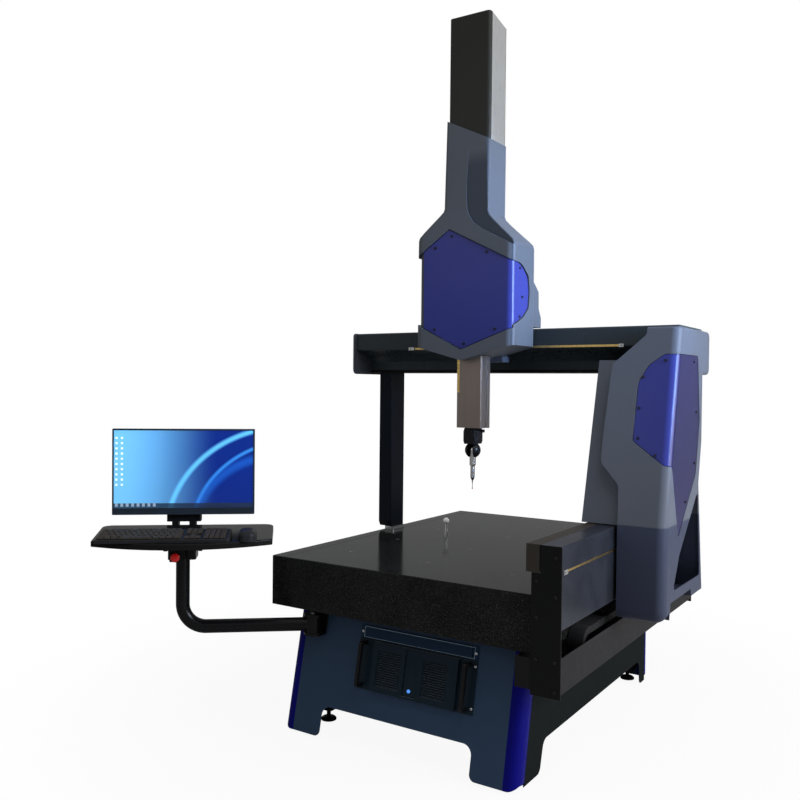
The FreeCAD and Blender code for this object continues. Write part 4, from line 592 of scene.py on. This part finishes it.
bpy.ops.object.select_all(action="DESELECT")
knob_profile = (
    (0.006, 1.0), (0.001, 1.25), (0.011, 1.0), (0.002, 0.8),
    (0.0, 0.55), (0.004, 1.0), (0.001, 0.8),
)
bpy.ops.mesh.primitive_circle_add(
    vertices=20, radius=0.0075, fill_type="NGON", location=(0, 0, 0)
)
knob = bpy.context.object
bpy.ops.object.mode_set(mode="EDIT")
bpy.ops.mesh.select_all(action="SELECT")
for rise, spread in knob_profile:
    bpy.ops.mesh.extrude_region_move(TRANSFORM_OT_translate={"value": (0, 0, rise)})
    bpy.ops.transform.resize(value=(spread, spread, 1.0))
bpy.ops.object.mode_set(mode="OBJECT")
bpy.ops.object.shade_smooth_by_angle(angle=math.radians(40))
knob.data.materials.append(moulding("knob_black", (0.01, 0.01, 0.01), 0.4).material)
knob.data.materials.append(turned_metal("knob_brass", (0.72, 0.5, 0.18), 0.25).material)
for face in knob.data.polygons:
    if face.center.z > 0.0205:
        face.material_index = 1
right_knob = bpy.data.objects.new("clamp_knob_right", knob.data.copy())
bpy.context.scene.collection.objects.link(right_knob)
knob.name = "clamp_knob_left"
for piece, side in ((knob, -1), (right_knob, 1)):
    spin = (side * across).to_track_quat("Z", "Y").to_matrix().to_4x4()
    piece.data.transform(Matrix.Translation(on_tray(0.05 * side, -0.005, 0.045)) @ spin)
    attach(piece, "workstation")

# Keyboard tray: gloss black moulded shelf with a bowed front edge.
tray_gloss = moulding("tray_gloss_black", (0.006, 0.0057, 0.0055), 0.16, 700.0, 0.00008, 0.08)
tray_gloss.shader.inputs["Specular IOR Level"].default_value = 0.02
refined("keyboard_tray", "workstation", tray_gloss, 0.0, 32.0)

# Keyboard and mouse: matt black case, a dished keycap modelled once and set out in
# three banks, and a low mouse with a split between its buttons and a wheel.
keyboard_black = moulding("keyboard_black", (0.012, 0.012, 0.013), 0.5)
refined("keyboard_case", "workstation", keyboard_black, 0.0012)
key_plastic = moulding("key_dark_grey", (0.029, 0.024, 0.019), 0.5, 1600.0, 0.0002)
bpy.ops.object.select_all(action="DESELECT")
bpy.ops.mesh.primitive_cube_add(size=1.0, location=(0, 0, 0.5))
keycap = bpy.context.object
keycap.name = "keycap_pattern"
bpy.ops.object.mode_set(mode="EDIT")
bpy.ops.mesh.select_all(action="DESELECT")
bpy.ops.object.mode_set(mode="OBJECT")
for face in keycap.data.polygons:
    face.select = face.normal.z > 0.9
bpy.ops.object.mode_set(mode="EDIT")
bpy.ops.transform.resize(value=(0.8, 0.74, 1.0))
bpy.ops.mesh.inset(thickness=0.07, depth=0.0)
bpy.ops.transform.translate(value=(0, 0, -0.08))
bpy.ops.object.mode_set(mode="OBJECT")
cap_rows = (
    (1.0, 0.5, 1, 1, 1, 1, 0.5, 1, 1, 1, 1, 0.5, 1, 1, 1, 1),
    (1,) * 13 + (2.0,),
    (1.5,) + (1,) * 12 + (1.5,),
    (1.8,) + (1,) * 11 + (2.2,),
    (2.3,) + (1,) * 10 + (2.7,),
    (1.3, 1.2, 1.2, 6.2, 1.2, 1.2, 1.2, 1.5),
)
side_banks = ((0.070, (3, 3, 3, 0, 3, 3)), (0.133, (4, 4, 4, 4, 4, 4)))
key_pitch = 0.0182
row_pitch = 0.0196
row_climb = 0.00182
keys_right, keys_rear, keys_up = -0.030, -0.242, 0.1391
front_row, half_row = -0.062, 0.009
keys = []


def set_key(start, width, row):
    """One keycap in its row; the rows climb the wedge of the case towards the back."""
    key = bpy.data.objects.new("key", keycap.data.copy())
    rear = front_row + (5 - row) * row_pitch + half_row
    slope = Matrix.Rotation(math.radians(5.3), 4, "X")
    key_size = Matrix.Diagonal((width * key_pitch - 0.0012, 0.0176, 0.0058, 1.0))
    middle = keys_right + start + width * key_pitch / 2
    seat = on_tray(middle, keys_rear + rear, keys_up + (5 - row) * row_climb)
    pose = Matrix.Translation(seat) @ Matrix.Rotation(arm_angle, 4, "Z") @ slope
    key.data.transform(pose @ key_size)
    bpy.context.scene.collection.objects.link(key)
    keys.append(key)


for row, widths in enumerate(cap_rows):
    start = -0.212
    for number, width in enumerate(widths):
        if not (row == 0 and width == 0.5):
            set_key(start, width, row)
        start += width * key_pitch
    for start, counts in side_banks:
        for number in range(counts[row]):
            if not (row == 4 and start < 0.1 and number != 1):
                set_key(start + number * key_pitch, 1, row)
bpy.ops.object.select_all(action="DESELECT")
for key in keys:
    key.select_set(True)
bpy.context.view_layer.objects.active = keys[0]
bpy.ops.object.join()
keycaps = keys[0]
keycaps.name = "keycaps"
edge = keycaps.modifiers.new("edge", "BEVEL")
edge.width = 0.0005
edge.segments = 1
edge.limit_method = "ANGLE"
bpy.ops.object.modifier_apply(modifier="edge")
keycaps.data.materials.clear()
keycaps.data.materials.append(key_plastic.material)
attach(keycaps, "workstation")
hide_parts("keyboard_keys")
bpy.data.objects.remove(keycap)
mouse_black = moulding("mouse_black", (0.014, 0.014, 0.015), 0.38)
refined("mouse", "workstation", mouse_black, 0.0, 40.0)

# Screen: flat display in a black moulded housing. The picture is a plain desktop with
# broad rising arcs in two blues, a column of squares and a dark bar along the foot.
screen_housing_black = moulding("screen_housing_black", (0.013, 0.018, 0.024), 0.38)
refined("monitor_case", "monitor", screen_housing_black, 0.001)
picture = Finish("desktop_picture", 0.12, coat=0.3, coat_roughness=0.05)
right_of = picture.along(picture.from_point(tuple(swivel)), tuple(across))
picture_left, picture_width = -0.264, 0.511
picture_foot, picture_height = 0.183, 0.291
u = (right_of - picture_left) / picture_width
v = (picture.axis(picture.place, "Z") - picture_foot) / picture_height
ground = picture.mix(u.between(0.0, 0.75), (0.13, 0.4, 0.67, 1.0), (0.002, 0.014, 0.13, 1.0))
for centre, radius, width, tint, strength in (
    (1.25, 1.12, 0.05, (0.12, 0.5, 0.85, 1.0), 0.75),
    (1.32, 0.98, 0.035, (0.04, 0.28, 0.7, 1.0), 0.6),
    (1.2, 0.82, 0.09, (0.01, 0.1, 0.45, 1.0), 0.5),
):
    du = (u - centre) * 1.6
    dv = v + 0.35
    distance = (du * du + dv * dv).math("SQRT", du * du + dv * dv)
    offset = distance - radius * 1.25
    arc = 1.0 - offset.math("ABSOLUTE", offset).between(0.0, width)
    ground = picture.mix(arc * strength, ground, tint)
column = u * 26.0
rows = v * 15.0
square_u = column.math("FRACT", column)
square_v = rows.math("FRACT", rows)
marks = square_u.between(0.28, 0.33) * (1.0 - square_u.between(0.67, 0.72))
marks = marks * square_v.between(0.3, 0.36) * (1.0 - square_v.between(0.7, 0.76))
marks = marks * (1.0 - u.between(0.075, 0.08)) * v.between(0.26, 0.27)
marks = marks * (1.0 - v.between(0.92, 0.93))
ground = picture.mix(marks * 0.85, ground, (0.75, 0.8, 0.85, 1.0))
bar = 1.0 - v.between(0.06, 0.066)
ground = picture.mix(bar * 0.9, ground, (0.012, 0.02, 0.035, 1.0))
buttons = square_u.between(0.2, 0.3) * (1.0 - square_u.between(0.7, 0.8))
buttons = buttons * (1.0 - u.between(0.3, 0.31))
buttons = buttons * bar * v.between(0.018, 0.024)
ground = picture.mix(buttons * 0.6, ground, (0.35, 0.42, 0.5, 1.0))
picture.colour(ground)
picture.tree.links.new(ground.socket, picture.shader.inputs["Emission Color"])
picture.shader.inputs["Emission Strength"].default_value = 0.55
paint_node("monitor_screen", picture)

# Left leg: dark painted box section on a round-cornered air bearing.
leg_dark_blue = powder_coat("leg_dark_blue", (0.003, 0.005, 0.009), 0.35, 0.8, 0.08)
refined("left_leg", "bridge", leg_dark_blue, 0.001)
paint_node("left_air_bearing", turned_metal("air_bearing_steel", (0.55, 0.56, 0.57), 0.3))

# Bridge beam: gloss black anodised extrusion with an overhanging nose, a black plate
# under it, a gold tape along the nose and a moulded cap over the left end.
beam_black = powder_coat("beam_gloss_black", (0.026, 0.034, 0.04), 0.28, 0.3, 0.12)
refined("bridge_beam", "bridge", beam_black, 0.0012)
refined("beam_base_plate", "bridge", machine_black, 0.0008)
paint_node("x_scale", grating_tape("cross_tape_gold", True))
refined("x_scale_clips", "bridge", clamp_steel, 0.0006)
cover_grey = moulding("cover_mid_grey", (0.06, 0.068, 0.086), 0.42, 900.0, 0.0002, 0.05)
refined("left_end_cap", "bridge", cover_grey, 0.0016)

# Powered leg: dark slate casting on the guide with its outrigger, behind a moulded cover
# that is darker and bluer below the kink of its front, and a deep blue panel let into
# its corner, with painted shade on its right side.
casting = powder_coat("casting_dark_slate", (0.08, 0.091, 0.117), 0.36, 1.4, 0.05)
refined("right_leg", "bridge", casting, 0.0016)
refined("bearing_block", "bridge", casting, 0.0012)
kinked_cover = Finish("cover_darker_below_kink", 0.4, coat=0.05, coat_roughness=0.2)
height = kinked_cover.axis(kinked_cover.place, "Z")
# Below the kink of its front, near 0.177 m, the cover is coloured darker and bluer than above it.
below_kink = 1.0 - height.between(0.174, 0.18)
tone = kinked_cover.noise(3.0, 3.0)
upper_grey = kinked_cover.mix(tone, (0.072, 0.08, 0.1, 1.0), (0.083, 0.092, 0.112, 1.0))
kinked_cover.colour(kinked_cover.mix(below_kink, upper_grey, (0.032, 0.038, 0.063, 1.0)))
kinked_cover.rough(kinked_cover.noise(24.0, 3.0).between(0.2, 0.8, 0.38, 0.43))
kinked_cover.relief(kinked_cover.cells(900.0), 0.3, 0.0003)
refined("right_cover", "bridge", kinked_cover, 0.0012)
panel_blue = moulding("panel_deep_blue", (0.026, 0.032, 0.163), 0.22, 600.0, 0.00008, 0.15)
side_blue = moulding("side_panel_blue", (0.026, 0.032, 0.163), 0.22, 600.0, 0.00008, 0.15)
# Painted shade: the face of the side panel that looks to the right is darkened towards violet, as
# it lies in shade.
painted_side_shade_mask = side_blue.axis(side_blue.facing(), "X").between(0.75, 1.0, 0.0, 0.85)
painted_side_shade = side_blue.mix(painted_side_shade_mask, side_blue.painted(), (0.014, 0.012, 0.03, 1.0))
side_blue.colour(painted_side_shade)
refined("blue_side_panel", "bridge", side_blue, 0.0012)
panel_screw = cap_screw("panel_screw_pattern", 0.0048, 0.0035, black_oxide)


def lean_place(x, z, proud):
    """A place on the leaning face of the cover, in metres."""
    y = -0.300 + 0.157 * (z - 0.177) / 0.692
    return (x, y - proud, z)


lean_out = (0.0, -0.975, 0.22)
side_places = []
for x, z in ((0.770, 0.748), (0.697, 0.690), (0.690, 0.580), (0.695, 0.475), (0.760, 0.418)):
    side_places.append((lean_place(x, z, 0.0), lean_out))
for y, z in ((0.039, 0.748), (0.078, 0.563), (0.062, 0.375), (-0.053, 0.242)):
    side_places.append(((0.8134, y, z), (1, 0, 0)))
set_screws("side_panel_screws", panel_screw, side_places, "bridge")

# Carriage: dark casting that grips the nose of the beam and guides the ram.
refined("carriage_block", "carriage", casting, 0.001)

# Head housing: moulded in blue-grey with flared lopsided shoulders and a tower, with
# painted shade on the floor of its front step; a deep blue hexagonal panel is screwed
# into the recess that wraps round its front.
head_grey = moulding("housing_blue_grey", (0.071, 0.079, 0.093), 0.38, 900.0, 0.0002, 0.06)
tower_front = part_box("head_cover")[0].y + 0.005
depth = head_grey.axis(head_grey.place, "Y") - tower_front
# Painted shade: a band a few millimetres behind the front of the tower, right of x = 0.035 m, is
# darkened where the floor of the step lies in shade.
painted_step_shade = depth.between(0.0006, 0.002) * (1.0 - depth.between(0.009, 0.011))
painted_step_shade = painted_step_shade * head_grey.axis(head_grey.place, "X").between(0.034, 0.037)
housing_with_step_shade = head_grey.mix(painted_step_shade, head_grey.painted(), (0.038, 0.045, 0.058, 1.0))
head_grey.colour(housing_with_step_shade)
refined("head_cover", "carriage", head_grey, 0.0014, 32.0)
refined("head_panel", "carriage", panel_blue, 0.0016, 32.0)
refined("carriage_rear_cover", "carriage", head_grey, 0.0012)
panel_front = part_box("head_panel")[0].y
front_screws = (
    (-0.026, 1.231), (-0.100, 1.190), (0.127, 1.160),
    (0.165, 0.868), (0.033, 0.814), (-0.100, 0.872),
)
head_places = []
for x, z in front_screws:
    head_places.append(((x, panel_front, z), (0, -1, 0)))
panel_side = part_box("head_panel")[1].x
for y, z in ((-0.2146, 0.991), (-0.236, 1.098), (-0.236, 0.915)):
    head_places.append(((panel_side, y, z), (1, 0, 0)))
set_screws("head_panel_screws", panel_screw, head_places, "carriage")

# Column: satin black folded cover of the ram with brushed silver side sheets.
column_satin_black = powder_coat("column_satin_black", (0.018, 0.018, 0.015), 0.36, 0.6, 0.08)
refined("column_cover", "carriage", column_satin_black, 0.001, 32.0)


def brushed(name, colour, roughness, streaks):
    """Brushed sheet: fine streaks along the height."""
    sheet = Finish(name, roughness, metallic=1.0)
    grain = sheet.noise(1.0, 3.0, sheet.stretched(*streaks))
    wide = sheet.noise(5.0, 2.0)
    base = sheet.mix(grain, shade(colour, 0.86), shade(colour, 1.1))
    sheet.colour(sheet.mix(wide.between(0.3, 0.7, 0.0, 0.25), base, shade(colour, 0.8)))
    sheet.rough(grain.between(0.25, 0.75, roughness - 0.08, roughness + 0.1))
    sheet.relief(grain, 0.15, 0.0001)
    return sheet


column_brushed_silver = brushed(
    "column_brushed_silver", (0.62, 0.62, 0.6), 0.34, (900.0, 900.0, 12.0)
)
refined("column_sides", "carriage", column_brushed_silver, 0.0004)

# Ram: warm dark anodised extrusion, drawn lines along its length, with a gold tape and
# a black clamp at the foot of the tape.
anodised = Finish("ram_dark_anodised", 0.36, metallic=0.85)
drawn = anodised.noise(1.0, 3.0, anodised.stretched(700.0, 700.0, 4.0))
anodised.colour(anodised.mix(drawn, (0.19, 0.155, 0.135, 1.0), (0.27, 0.225, 0.195, 1.0)))
anodised.rough(drawn.between(0.2, 0.8, 0.28, 0.46))
anodised.relief(drawn, 0.12, 0.0001)
refined("ram", "ram", anodised, 0.0005)
paint_node("z_scale", grating_tape("upright_tape_gold", False))

# Probe: black indexing head with a ball that turns, a silver stepped touch probe, a
# thin stylus and a ruby tip.
probe_black = powder_coat("probe_black_anodised", (0.008, 0.008, 0.009), 0.34, 0.5, 0.2)
refined("probe_body", "ram", probe_black, 0.0008)
refined("probe_ball", "probe_head", probe_black, 0.0004, 32.0)
probe_turned_silver = turned_metal("probe_turned_silver", (0.6, 0.6, 0.61), 0.24)
refined("probe_module", "probe", probe_turned_silver, 0.0004, 32.0)
paint_node("stylus", turned_metal("stylus_ground_steel", (0.45, 0.45, 0.46), 0.25))
ruby = Finish("ruby", 0.06, coat=0.8, coat_roughness=0.02)
ruby.colour(ruby.mix(ruby.noise(400.0), (0.5, 0.006, 0.03, 1.0), (0.65, 0.012, 0.05, 1.0)))
refined("stylus_ball", "probe", ruby, 0.0, 60.0)

# Patterns that were only copied are taken away.
for pattern in (plate_screw, ear_screw, pin_nut, panel_screw):
    bpy.data.objects.remove(pattern)
